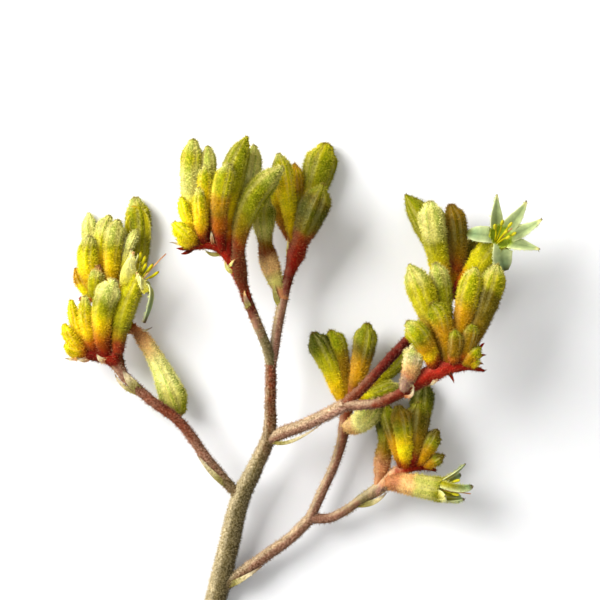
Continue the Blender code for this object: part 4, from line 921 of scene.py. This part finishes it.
def add_stalk(body, line, start, end, tone, colours, sides, down=1.0):
    """A round stalk along part of a line, coloured by its place on the whole line."""
    whole = length_of(line)
    count = max(2, round((end - start) / STALK_STEP))
    steps = ramp(colours, tone)
    grain = STALK_GRAIN

    def place(turn, row):
        inside = min(max(row - 1, 0), count)
        distance = start + (end - start) * inside / count
        spot = point_at(line, distance)
        centre = spot.to_3d()
        ahead, behind = point_at(line, distance + LOOK_AHEAD), point_at(line, distance - LOOK_AHEAD)
        direction = (ahead - behind).to_3d().normalized()
        reach = 0.0 if row in (0, count + 2) else spot.w
        if start != 0.0:
            reach *= 1.0 - TUCK_SHRINK + TUCK_SHRINK * ease(start, start + TUCK, distance)
        if end != whole:
            reach *= 1.0 - TUCK_SHRINK * ease(end - TUCK / 2, end, distance)
        angle = 2 * math.pi * turn
        wave = noise.noise(ring_point(centre, direction, UP, angle, reach) * grain.wave_scale)
        here = ring_point(centre, direction, UP, angle, reach * (1 + grain.wave_depth * wave))
        mottle = 1 + grain.mottle_depth * noise.noise(here * grain.mottle_scale)
        skin = shade(steps, distance / whole + grain.drift * wave) * mottle
        outward = here - centre
        # Painted light: the side that faces the light is painted paler, the far side darker as painted shade
        skin = paint_sun_and_shade(skin, outward, STALK_PAINTED_SUN)
        # Painted highlight: wool colour laid on the side that faces the light
        if outward.length > CLEAR_REACH:
            pale = ease(*STALK_PAINTED_HIGHLIGHT_SPAN, outward.normalized().dot(PAINTED_LIGHT_FROM)) * min(1.0, skin.y * 8)
            skin = skin.lerp(Vector(colours.wool), STALK_PAINTED_HIGHLIGHT * pale)
        return Mark(here, skin, 0.0, down)

    shell(body, sides, count + 2, place)


def add_blade(body, leaf, foot, wide, form, faces, cup, margin=None, thickness=BLADE_THICKNESS,
              rows=BLADE_ROWS, sides=BLADE_SIDES):
    """A flat blade, hollowed lengthwise; faces are the colours of its inner and outer face."""
    foot, bend, tip = Vector(foot), Vector(leaf.bend), Vector(leaf.tip)
    inner, outer = faces
    bowl = ROUND_BOWL if margin is None else SHARP_BOWL

    def place(turn, row):
        t, ends = row_place(row, rows)
        direction = bow_direction(foot, bend, tip, t)
        face = wide.cross(direction).normalized()
        side = direction.cross(face)
        angle = 2 * math.pi * turn
        across = abs(math.cos(angle))
        span = share_at(form, t) * leaf.width / 2
        flat = math.cos(angle) * span
        rise = math.sin(angle) * thickness / 2 * min(1.0, span / thickness + 0.3)
        hollow = -cup * span * across ** bowl
        here = bow(foot, bend, tip, t) + (side * flat + face * (rise + hollow)) * ends
        outside = math.sin(angle) > OUTER_FACE
        skin = shade(outer if outside else inner, t + BLADE_DRIFT * noise.noise(here * BLADE_DRIFT_SCALE))
        skin = skin * (1 + BLADE_MOTTLE * noise.noise(here * BLADE_MOTTLE_SCALE))
        if margin is not None:
            skin = skin * (1 - CREASE_SHADE * max(0.0, 1 - across * 3))
            skin = skin * (1 - HALF_SHADE * ease(0.0, 0.5, math.cos(angle)))
            skin = skin.lerp(margin, MARGIN_SHARE * across ** 3 * (1 - t ** 6))
        return Mark(here, skin, 0.0, BLADE_DOWN if outside else 0.0)

    shell(body, sides, rows + 2, place)


def add_bract(body, bract, line, colours):
    """A small pointed leaf, rooted in the stem that the line runs through."""
    foot = nearest(line, bract.foot)
    wide = (Vector(bract.tip) - foot).cross(UP)
    steps = ramp(colours, bract.tone)
    add_blade(body, bract, foot, wide, BRACT_FORM, (steps, steps), BRACT_CUP)


def tube_point(bloom, t):
    """Centre, direction and radius of an open flower's tube; its mouth turns to its facing."""
    base, bend, mouth = Vector(bloom.base), Vector(bloom.bend), Vector(bloom.mouth)
    centre = bow(base, bend, mouth, t)
    direction = bow_direction(base, bend, mouth, t)
    direction = direction.lerp(Vector(bloom.facing).normalized(), t ** 3).normalized()
    small, middle, large = bloom.radii
    radius = small + (middle - small) * min(1.0, t / 0.5) + (large - middle) * max(0.0, t - 0.5) / 0.5
    return centre, direction, radius


def tube_face(bloom):
    """A direction that no part of an open flower's tube runs along."""
    return Vector(bloom.facing).cross(UP).cross(Vector(bloom.facing)).normalized()


def add_tube(body, bloom, shape, colours):
    """The hollow, ribbed tube of an open flower, with its floor inside."""
    rows = TUBE_FOOT + [(index / TUBE_STEPS, 1.0, 0.0) for index in range(TUBE_STEPS + 1)]
    outside = len(rows)
    inside = [1.0 - THROAT_DEPTH * index / THROAT_STEPS for index in range(THROAT_STEPS + 1)]
    rows += [(t, 1.0, 0.0) for t in inside] + [(inside[-1], 0.0, 0.0)]
    outer, inner = ramp(colours, bloom.tone), ramp(colours, "throat")
    face = tube_face(bloom)
    grain = TUBE_GRAIN

    def place(turn, row):
        t, shrink, push = rows[row]
        centre, direction, radius = tube_point(bloom, t)
        centre = centre + direction * push * radius
        crest = abs(math.cos(math.pi * FLOWER_RIBS * turn))
        in_throat = row >= outside
        if in_throat:
            radius -= WALL_THICKNESS * WALL_SHARE
        reach = radius * shrink * (1 + shape.rib_depth * TUBE_RIB_SHARE * (2 * crest ** RIB_EXPONENT - 1))
        angle = 2 * math.pi * turn
        wave = noise.noise(ring_point(centre, direction, face, angle, reach) * grain.wave_scale)
        here = ring_point(centre, direction, face, angle, reach * (1 + grain.wave_depth * wave))
        light = TUBE_LIGHT + grain.mottle_depth * noise.noise(here * grain.mottle_scale)
        skin = shade(inner if in_throat else outer, t + grain.drift * wave) * light
        if in_throat:
            return Mark(here, skin, 0.0, 0.0)
        # Painted light: the side that faces the light is painted paler, the far side darker as painted shade
        skin = paint_sun_and_shade(skin, here - centre, TUBE_PAINTED_SUN)
        return Mark(here, skin, 0.6 * ease(*TUBE_STRIPE_SPAN, t), 0.4 + 0.5 * crest)

    shell(body, shape.sides, len(rows) - 1, place)


def add_lobe(body, lobe, bloom, colours):
    """One lobe of an open flower, rooted in the rim of its tube."""
    mouth, direction, radius = tube_point(bloom, 1.0)
    outward = Vector(lobe.bend) - mouth
    outward = (outward - direction * outward.dot(direction)).normalized()
    root = mouth + outward * (radius - WALL_THICKNESS / 2) - direction * LOBE_ROOT
    back = "blue_lobe" if lobe.tone == "pale_lobe" else lobe.tone
    faces = ramp(colours, lobe.tone), ramp(colours, back)
    wide = direction.cross(outward)
    add_blade(body, lobe, root, wide, lobe.form, faces, LOBE_CUP, Vector(colours.margin), LOBE_THICKNESS,
              rows=LOBE_ROWS, sides=LOBE_SIDES)


def add_flaps(body, node, colours):
    """The petals that lie over a piece."""
    for flap in FLAPS:
        if flap.node == node:
            steps = ramp(colours, flap.tone)
            wide = (Vector(flap.tip) - Vector(flap.foot)).cross(UP)
            add_blade(body, flap, flap.foot, wide, POINTED_LOBE, (steps, steps), LOBE_CUP,
                      Vector(colours.sage))


def add_thread(body, start, middle, end, radius, face, steps):
    """A thin round thread that tapers to its end."""

    def place(turn, row):
        t, ends = row_place(row, THREAD_ROWS)
        direction = bow_direction(start, middle, end, t)
        reach = ends * radius * (1 - THREAD_TAPER * t)
        here = ring_point(bow(start, middle, end, t), direction, face, 2 * math.pi * turn, reach)
        return Mark(here, shade(steps, t), 0.0, 0.0)

    shell(body, THREAD_SIDES, THREAD_ROWS + 2, place)


def add_anther(body, middle, end, face, length, steps):
    """The long pollen sac at the end of a stamen, with a groove along it and painted shade in the groove."""
    direction = (end - middle).normalized()

    def place(turn, row):
        t, ends = row_place(row, ANTHER_ROWS)
        centre = end + direction * length * (t - 0.5)
        groove = 1 - GROOVE_DEPTH * math.cos(2 * math.pi * turn) ** GROOVE_EXPONENT
        reach = ends * ANTHER_RADIUS * share_at(ANTHER_FORM, t) * groove
        here = ring_point(centre, direction, face, 2 * math.pi * turn, reach)
        # Painted shade: the groove is painted darker than the rest of the anther
        return Mark(here, shade(steps, t) * (1.1 - 0.5 * (1 - groove)), 0.0, 0.0)

    shell(body, ANTHER_SIDES, ANTHER_ROWS + 2, place)


def place_object(name, data):
    """A new object in the scene."""
    made = bpy.data.objects.new(name, data)
    bpy.context.scene.collection.objects.link(made)
    return made


def finish_piece(body, name, surface, nodes):
    """Make a mesh object of a body, and hide the nodes of the solids that it stands for."""
    bmesh.ops.recalc_face_normals(body, faces=body.faces)
    for face in body.faces:
        face.smooth = True
    mesh = bpy.data.meshes.new(name)
    body.to_mesh(mesh)
    body.free()
    mesh.materials.append(surface_named(surface))
    piece = place_object(name, mesh)
    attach(piece, "root")
    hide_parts(*nodes)
    return piece


def feed(tree, node, inputs):
    """Give a node's inputs, by name or number, their values or the sockets that drive them."""
    for key, value in inputs.items():
        if isinstance(value, bpy.types.NodeSocket):
            tree.links.new(value, node.inputs[key])
        else:
            node.inputs[key].default_value = value


def add_node(tree, kind, inputs=None, **settings):
    """A node of a tree with its own settings and inputs."""
    made = tree.nodes.new(kind)
    for name, value in settings.items():
        setattr(made, name, value)
    feed(tree, made, inputs or {})
    return made


def wool_tree(wool, seed):
    """Geometry nodes that stand a short pointed hair on a mesh wherever it is downy."""
    tree = bpy.data.node_groups.new("Wool", "GeometryNodeTree")
    for way in ("INPUT", "OUTPUT"):
        tree.interface.new_socket("Geometry", in_out=way, socket_type="NodeSocketGeometry")
    mesh = add_node(tree, "NodeGroupInput").outputs[0]
    down = add_node(tree, "GeometryNodeInputNamedAttribute", {"Name": "Down"}, data_type="FLOAT")
    density = math_node(tree, "MULTIPLY", down.outputs["Attribute"], wool.density * SQUARE_METRE)
    place = add_node(tree, "GeometryNodeInputPosition").outputs["Position"]
    height = add_node(tree, "ShaderNodeSeparateXYZ", {0: place}).outputs["Z"]
    clear = add_node(tree, "FunctionNodeCompare", {"A": height, "B": wool.length * FLOOR_CLEARANCE},
                     data_type="FLOAT", operation="GREATER_THAN")
    roots = add_node(tree, "GeometryNodeDistributePointsOnFaces",
                     {"Mesh": mesh, "Density": density, "Seed": seed})
    lean = add_node(tree, "FunctionNodeRandomValue", {"Min": (-HAIR_LEAN,) * 3, "Max": (HAIR_LEAN,) * 3},
                    data_type="FLOAT_VECTOR")
    heading = add_node(tree, "ShaderNodeVectorMath", {0: roots.outputs["Normal"], 1: lean.outputs["Value"]},
                       operation="ADD")
    turned = add_node(tree, "FunctionNodeAlignRotationToVector", {"Vector": heading.outputs[0]}, axis="Z")
    size = add_node(tree, "FunctionNodeRandomValue", data_type="FLOAT")
    low, high = [socket for socket in size.inputs if socket.enabled][:2]
    low.default_value, high.default_value = HAIR_SIZES
    hair = add_node(tree, "GeometryNodeMeshCone", {"Vertices": HAIR_SIDES, "Radius Bottom": wool.radius,
                                                   "Radius Top": 0.0, "Depth": wool.length}, fill_type="NGON")
    stand = add_node(tree, "GeometryNodeInstanceOnPoints", {
        "Points": roots.outputs["Points"], "Selection": clear.outputs["Result"],
        "Instance": hair.outputs["Mesh"], "Rotation": turned.outputs["Rotation"],
        "Scale": next(socket for socket in size.outputs if socket.enabled),
    })
    real = add_node(tree, "GeometryNodeRealizeInstances", {0: stand.outputs[0]})
    add_node(tree, "NodeGroupOutput", {0: real.outputs[0]})
    return tree


def add_wool(piece, name, surface, wool, seed):
    """The wool of a piece, as a mesh of its own."""
    maker = piece.modifiers.new("Wool", "NODES")
    maker.node_group = wool_tree(wool, seed)
    view = bpy.context.evaluated_depsgraph_get()
    mesh = bpy.data.meshes.new_from_object(piece.evaluated_get(view))
    piece.modifiers.remove(maker)
    mesh.name = name
    mesh.materials.clear()
    mesh.materials.append(surface_named(surface))
    down = place_object(name, mesh)
    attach(down, "root")


def new_surface(name):
    """A material, with its tree, its shader and the object coordinates."""
    surface = bpy.data.materials.new(name)
    surface.use_nodes = True
    tree = surface.node_tree
    spots = add_node(tree, "ShaderNodeTexCoord").outputs["Object"]
    return surface, tree, tree.nodes["Principled BSDF"], spots


def surface_named(name):
    """A material that an earlier step made."""
    found = bpy.data.materials.get(name)
    if found is None:
        raise RuntimeError("The surfaces come first: " + name)
    return found


def noise_node(tree, spots, scale, detail):
    """A noise on object coordinates."""
    return add_node(tree, "ShaderNodeTexNoise", {"Vector": spots, "Scale": scale, "Detail": detail})


def mix_node(tree, blend, share, first, second):
    """A colour mix whose share and colours are sockets or values."""
    inputs = {0: share, 6: first, 7: second}
    return add_node(tree, "ShaderNodeMix", inputs, data_type="RGBA", blend_type=blend).outputs[2]


def math_node(tree, operation, *terms):
    """The result of a calculation on sockets and values."""
    return add_node(tree, "ShaderNodeMath", dict(enumerate(terms)), operation=operation).outputs[0]


def product(tree, first, *others):
    """The product of sockets and values."""
    for other in others:
        first = math_node(tree, "MULTIPLY", first, other)
    return first


def scale_to(tree, source, low, high):
    """From 0 where a value is low to 1 where it is high."""
    inputs = {"Value": source, "From Min": low, "From Max": high}
    return add_node(tree, "ShaderNodeMapRange", inputs).outputs["Result"]


def woolly_surface(finish, wool):
    """A skin that takes its colour from the mesh, with dark furrows that are partly seam colour and partly
    painted shade, pale ribs and a grain of hair roots.
    """
    _, tree, shader, spots = new_surface(finish.name)
    skin = add_node(tree, "ShaderNodeAttribute", attribute_name="Skin").outputs["Color"]
    rib = add_node(tree, "ShaderNodeAttribute", attribute_name="Rib").outputs["Fac"]
    down = add_node(tree, "ShaderNodeAttribute", attribute_name="Down").outputs["Fac"]
    along = add_node(tree, "ShaderNodeUVMap", uv_map="Along").outputs["UV"]
    turn = add_node(tree, "ShaderNodeSeparateXYZ", {0: along}).outputs["X"]
    crest = math_node(tree, "ABSOLUTE", math_node(tree, "COSINE", product(tree, turn, math.pi * FLOWER_RIBS)))
    fine = noise_node(tree, spots, finish.grain_scale, GRAIN_DETAIL).outputs["Fac"]
    broad = noise_node(tree, spots, BROAD_SCALE, GRAIN_DETAIL).outputs["Fac"]

    def band(part):
        return product(tree, scale_to(tree, crest, part.low, part.high), rib, part.share)

    roots = product(tree, scale_to(tree, fine, *ROOT_SPAN), finish.roots, down)
    pits = product(tree, scale_to(tree, fine, *PIT_SPAN), finish.pits, down)
    pale = (*wool, 1.0)
    look = mix_node(tree, "MULTIPLY", band(HEART), skin, HEART_TINT)
    look = mix_node(tree, "MIX", band(EDGE), look, pale)
    # Darker furrows: seam colour and painted shade in the crease
    look = mix_node(tree, "MULTIPLY", band(SEAM_AND_PAINTED_SHADE), look, SEAM_AND_SHADE_TINT)
    look = mix_node(tree, "MULTIPLY", pits, look, PIT_TINT)
    look = mix_node(tree, "MIX", roots, look, hair_colour(tree, spots, skin, wool, finish.pale_share))
    shadow = math_node(tree, "MULTIPLY_ADD", broad, 1.0, DARKEST_PATCH)
    tint = add_node(tree, "ShaderNodeVectorMath", {0: look, "Scale": shadow}, operation="SCALE")
    bump = add_node(tree, "ShaderNodeBump",
                    {"Strength": BUMP_STRENGTH, "Distance": BUMP_HEIGHT, "Height": fine})
    feed(tree, shader, {
        "Base Color": tint.outputs[0], "Normal": bump.outputs["Normal"], "Roughness": finish.roughness,
        "Specular IOR Level": finish.gloss, "Sheen Weight": finish.sheen, "Sheen Roughness": SHEEN_ROUGHNESS,
        "Sheen Tint": pale,
    })


def hair_colour(tree, spots, skin, wool, pale_share):
    """The colour of the hairs: most are a brighter form of the skin, and a share of them are pale."""
    bright = add_node(tree, "ShaderNodeVectorMath", {0: skin, "Scale": HAIR_GAIN}, operation="SCALE")
    blue = add_node(tree, "ShaderNodeSeparateColor", {0: skin}).outputs["Blue"]
    light = add_node(tree, "ShaderNodeMath", {0: blue, 1: PALE_BY_BLUE, 2: PALE_BASE},
                     operation="MULTIPLY_ADD", use_clamp=True)
    hairs = noise_node(tree, spots, HAIR_SCALE, 0.0).outputs["Fac"]
    start, end = PALE_FROM - PALE_SHIFT * pale_share, PALE_TO - PALE_SHIFT * pale_share
    picked = scale_to(tree, hairs, start, end)
    share = product(tree, picked, light.outputs[0], PALE_LIMIT)
    return mix_node(tree, "MIX", share, bright.outputs[0], (*wool, 1.0))


def wool_surface(name, wool, pale_share):
    """Hairs in the colour of the skin that they stand on, some of them pale."""
    _, tree, shader, spots = new_surface(name)
    skin = add_node(tree, "ShaderNodeAttribute", attribute_name="Skin").outputs["Color"]
    hairs = hair_colour(tree, spots, skin, wool, pale_share)
    feed(tree, shader, {"Base Color": hairs, "Roughness": HAIR_ROUGHNESS, "Specular IOR Level": HAIR_GLOSS})


def floor_surface(look):
    """A plain pale floor with a faint grain."""
    surface, tree, shader, spots = new_surface("floor")
    grain = noise_node(tree, spots, FLOOR_SCALE, GRAIN_DETAIL).outputs["Color"]
    tone = mix_node(tree, "MULTIPLY", FLOOR_GRAIN, (*look.floor, 1.0), grain)
    feed(tree, shader, {"Base Color": tone, "Roughness": FLOOR_ROUGHNESS})
    return surface


class MakeSurfaces(bpy.types.Operator):
    """Make the materials of skin, petals, pollen and wool"""

    bl_idname = "kangaroo_paw.make_surfaces"
    bl_label = "Make Surfaces"

    def execute(self, context):
        colours = context.scene.paw_colours
        for finish in FINISHES:
            woolly_surface(finish, getattr(colours, finish.hairs))
        wool_surface("stem_wool", colours.wool, STEM_PALE_HAIRS)
        wool_surface("flower_wool", colours.cream, FLOWER_PALE_HAIRS)
        return {"FINISHED"}


class MakeStem(bpy.types.Operator):
    """Model the branched stem, its bracts and its wool"""

    bl_idname = "kangaroo_paw.make_stem"
    bl_label = "Make Stem"

    def execute(self, context):
        scene = context.scene
        colours = scene.paw_colours
        body = new_body()
        routes = ((SCAPE, "stem", SCAPE_SIDES), (LEFT_BRANCH, "left_branch", STALK_SIDES),
                  (RIGHT_BRANCH, "right_branch", STALK_SIDES), (LOW_BRANCH, "low_branch", STALK_SIDES))
        whole = []
        for route, tone, sides in routes:
            line = smooth_route(route)
            whole.extend(line)
            add_stalk(body, line, 0.0, length_of(line) + TUCK / 2, tone, colours, sides)
        for paw in PAWS:
            line = smooth_route(paw.stalk)
            add_stalk(body, line, -TUCK, paw.collar + PIECE_GAP, paw.tone, colours, STALK_SIDES, JOIN_DOWN)
        for bract in STEM_BRACTS:
            add_bract(body, bract, whole, colours)
        piece = finish_piece(body, "stem_skin", "stem_skin", ["stem"])
        add_wool(piece, "stem_wool", "stem_wool", scene.paw_wool, 1)
        return {"FINISHED"}


class MakePaws(bpy.types.Operator):
    """Model each paw: its stalk end, flowers, bracts and wool"""

    bl_idname = "kangaroo_paw.make_paws"
    bl_label = "Make Paws"

    def execute(self, context):
        scene = context.scene
        colours, shape = scene.paw_colours, scene.paw_flowers
        for seed, paw in enumerate(PAWS, 2):
            body = new_body()
            line = smooth_route(paw.stalk)
            start, end = paw.collar - TUCK, length_of(line)
            add_stalk(body, line, start, end, paw.tone, colours, STALK_SIDES, PAW_DOWN)
            for flower in paw.flowers:
                add_flower(body, flower, nearest(line, flower.foot), shape, colours)
            for bract in paw.bracts:
                add_bract(body, bract, line, colours)
            add_flaps(body, paw.node, colours)
            for bloom in BLOOMS:
                if bloom.paw == paw.node:
                    radius = bloom.radii[0] * FOOT_SHARE
                    ends = [Vector((*bloom.foot, radius)), Vector((*bloom.base, radius))]
                    length = (ends[1] - ends[0]).to_3d().length
                    add_stalk(body, smooth_route(ends), 0.0, length, paw.tone, colours, STALK_SIDES)
            piece = finish_piece(body, paw.node + "_flowers", "flower_skin", [paw.node])
            add_wool(piece, paw.node + "_wool", "flower_wool", scene.paw_wool, seed)
        return {"FINISHED"}


class MakeOpenFlowers(bpy.types.Operator):
    """Model the open flowers: hollow tube, lobes and wool"""

    bl_idname = "kangaroo_paw.make_open_flowers"
    bl_label = "Make Open Flowers"

    def execute(self, context):
        scene = context.scene
        colours, shape = scene.paw_colours, scene.paw_flowers
        for seed, bloom in enumerate(BLOOMS, 20):
            body = new_body()
            add_tube(body, bloom, shape, colours)
            for lobe in bloom.lobes:
                add_lobe(body, lobe, bloom, colours)
            add_flaps(body, bloom.node, colours)
            piece = finish_piece(body, bloom.node + "_petals", "petal_skin", [bloom.node])
            add_wool(piece, bloom.node + "_wool", "flower_wool", scene.paw_wool, seed)
        return {"FINISHED"}


class MakeStamens(bpy.types.Operator):
    """Model the stamens and the style of each open flower"""

    bl_idname = "kangaroo_paw.make_stamens"
    bl_label = "Make Stamens"

    def execute(self, context):
        colours = context.scene.paw_colours
        blooms = {bloom.node: bloom for bloom in BLOOMS}
        filament, style = ramp(colours, "filament"), ramp(colours, "style")
        for stamens in STAMENS:
            bloom = blooms[stamens.bloom]
            body = new_body()
            floor, direction, _ = tube_point(bloom, 1.0 - CUP_DEPTH)
            face = tube_face(bloom)
            start = floor + direction * PIECE_GAP
            mouth = tube_point(bloom, 1.0)[0]
            add_anther(body, start - direction, start + direction, face, KNOT_LENGTH, filament)
            for tip in stamens.anthers:
                end = Vector(tip)
                middle = mouth.lerp((start + end) * 0.5, THREAD_STRAIGHTNESS)
                add_thread(body, start, middle, end, FILAMENT_RADIUS, face, filament)
                add_anther(body, middle, end, face, stamens.length, ramp(colours, stamens.tone))
            end = Vector(stamens.style)
            middle = mouth.lerp((start + end) * 0.5, THREAD_STRAIGHTNESS)
            add_thread(body, start, middle, end, STYLE_RADIUS, face, style)
            finish_piece(body, stamens.node + "_threads", "pollen_skin", [stamens.node])
        return {"FINISHED"}


def add_light(name, place, size, power):
    """A soft square light that points at the flower head."""
    lamp = bpy.data.lights.new(name, "AREA")
    lamp.size = size
    lamp.energy = power
    light = place_object(name, lamp)
    light.location = place
    light.rotation_euler = (-Vector(place)).to_track_quat("-Z", "Y").to_euler()


class SetStage(bpy.types.Operator):
    """Set the pale floor, the soft lights and the camera that looks down"""

    bl_idname = "kangaroo_paw.set_stage"
    bl_label = "Set Stage"

    def execute(self, context):
        scene = context.scene
        look = scene.paw_stage
        slab = bmesh.new()
        bmesh.ops.create_grid(slab, x_segments=1, y_segments=1, size=FLOOR_HALF)
        mesh = bpy.data.meshes.new("floor")
        slab.to_mesh(mesh)
        slab.free()
        mesh.materials.append(floor_surface(look))
        floor = place_object("floor", mesh)
        add_light("key", KEY_PLACE, KEY_SIZE, look.key)
        add_light("fill", FILL_PLACE, FILL_SIZE, look.fill)
        sky = bpy.data.worlds.new("sky")
        sky.use_nodes = True
        white = {"Color": (1.0, 1.0, 1.0, 1.0), "Strength": look.sky}
        feed(sky.node_tree, sky.node_tree.nodes["Background"], white)
        scene.world = sky
        scene.view_settings.view_transform = "Standard"
        lens = bpy.data.cameras.new("camera")
        lens.lens = LENS
        lens.sensor_width = SENSOR
        camera = place_object("camera", lens)
        camera.location = (-BOX_MIDDLE.x * MM, -BOX_MIDDLE.y * MM, look.height)
        scene.camera = camera
        return {"FINISHED"}


class KangarooPawPanel(bpy.types.Panel):
    """The steps of the flower head, in order"""

    bl_idname = "VIEW3D_PT_kangaroo_paw"
    bl_label = "Kangaroo Paw"
    bl_space_type = "VIEW_3D"
    bl_region_type = "UI"
    bl_category = "Kangaroo Paw"

    def draw(self, context):
        layout = self.layout
        for step in STEPS:
            layout.operator(step.bl_idname)
        for setting in SETTINGS:
            group = getattr(context.scene, setting)
            box = layout.box()
            for name in group.bl_rna.properties.keys():
                if name not in ("rna_type", "name"):
                    box.prop(group, name)


SETTINGS = {
    "paw_flowers": FlowerShape, "paw_wool": WoolShape, "paw_stage": StageLook, "paw_colours": PawColours,
}
STEPS = (MakeSurfaces, MakeStem, MakePaws, MakeOpenFlowers, MakeStamens, SetStage)


def register():
    """Add the settings, the steps and the panel."""
    for part in (*SETTINGS.values(), *STEPS, KangarooPawPanel):
        bpy.utils.register_class(part)
    for name, group in SETTINGS.items():
        setattr(bpy.types.Scene, name, PointerProperty(type=group))


def unregister():
    """Take them away again."""
    for name in reversed(SETTINGS):
        delattr(bpy.types.Scene, name)
    for part in reversed((*SETTINGS.values(), *STEPS, KangarooPawPanel)):
        bpy.utils.unregister_class(part)


def main():
    """Run every step in order."""
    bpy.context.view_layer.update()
    register()
    for step in STEPS:
        family, name = step.bl_idname.split(".")
        getattr(getattr(bpy.ops, family), name)()


if __name__ == "__main__":
    main()
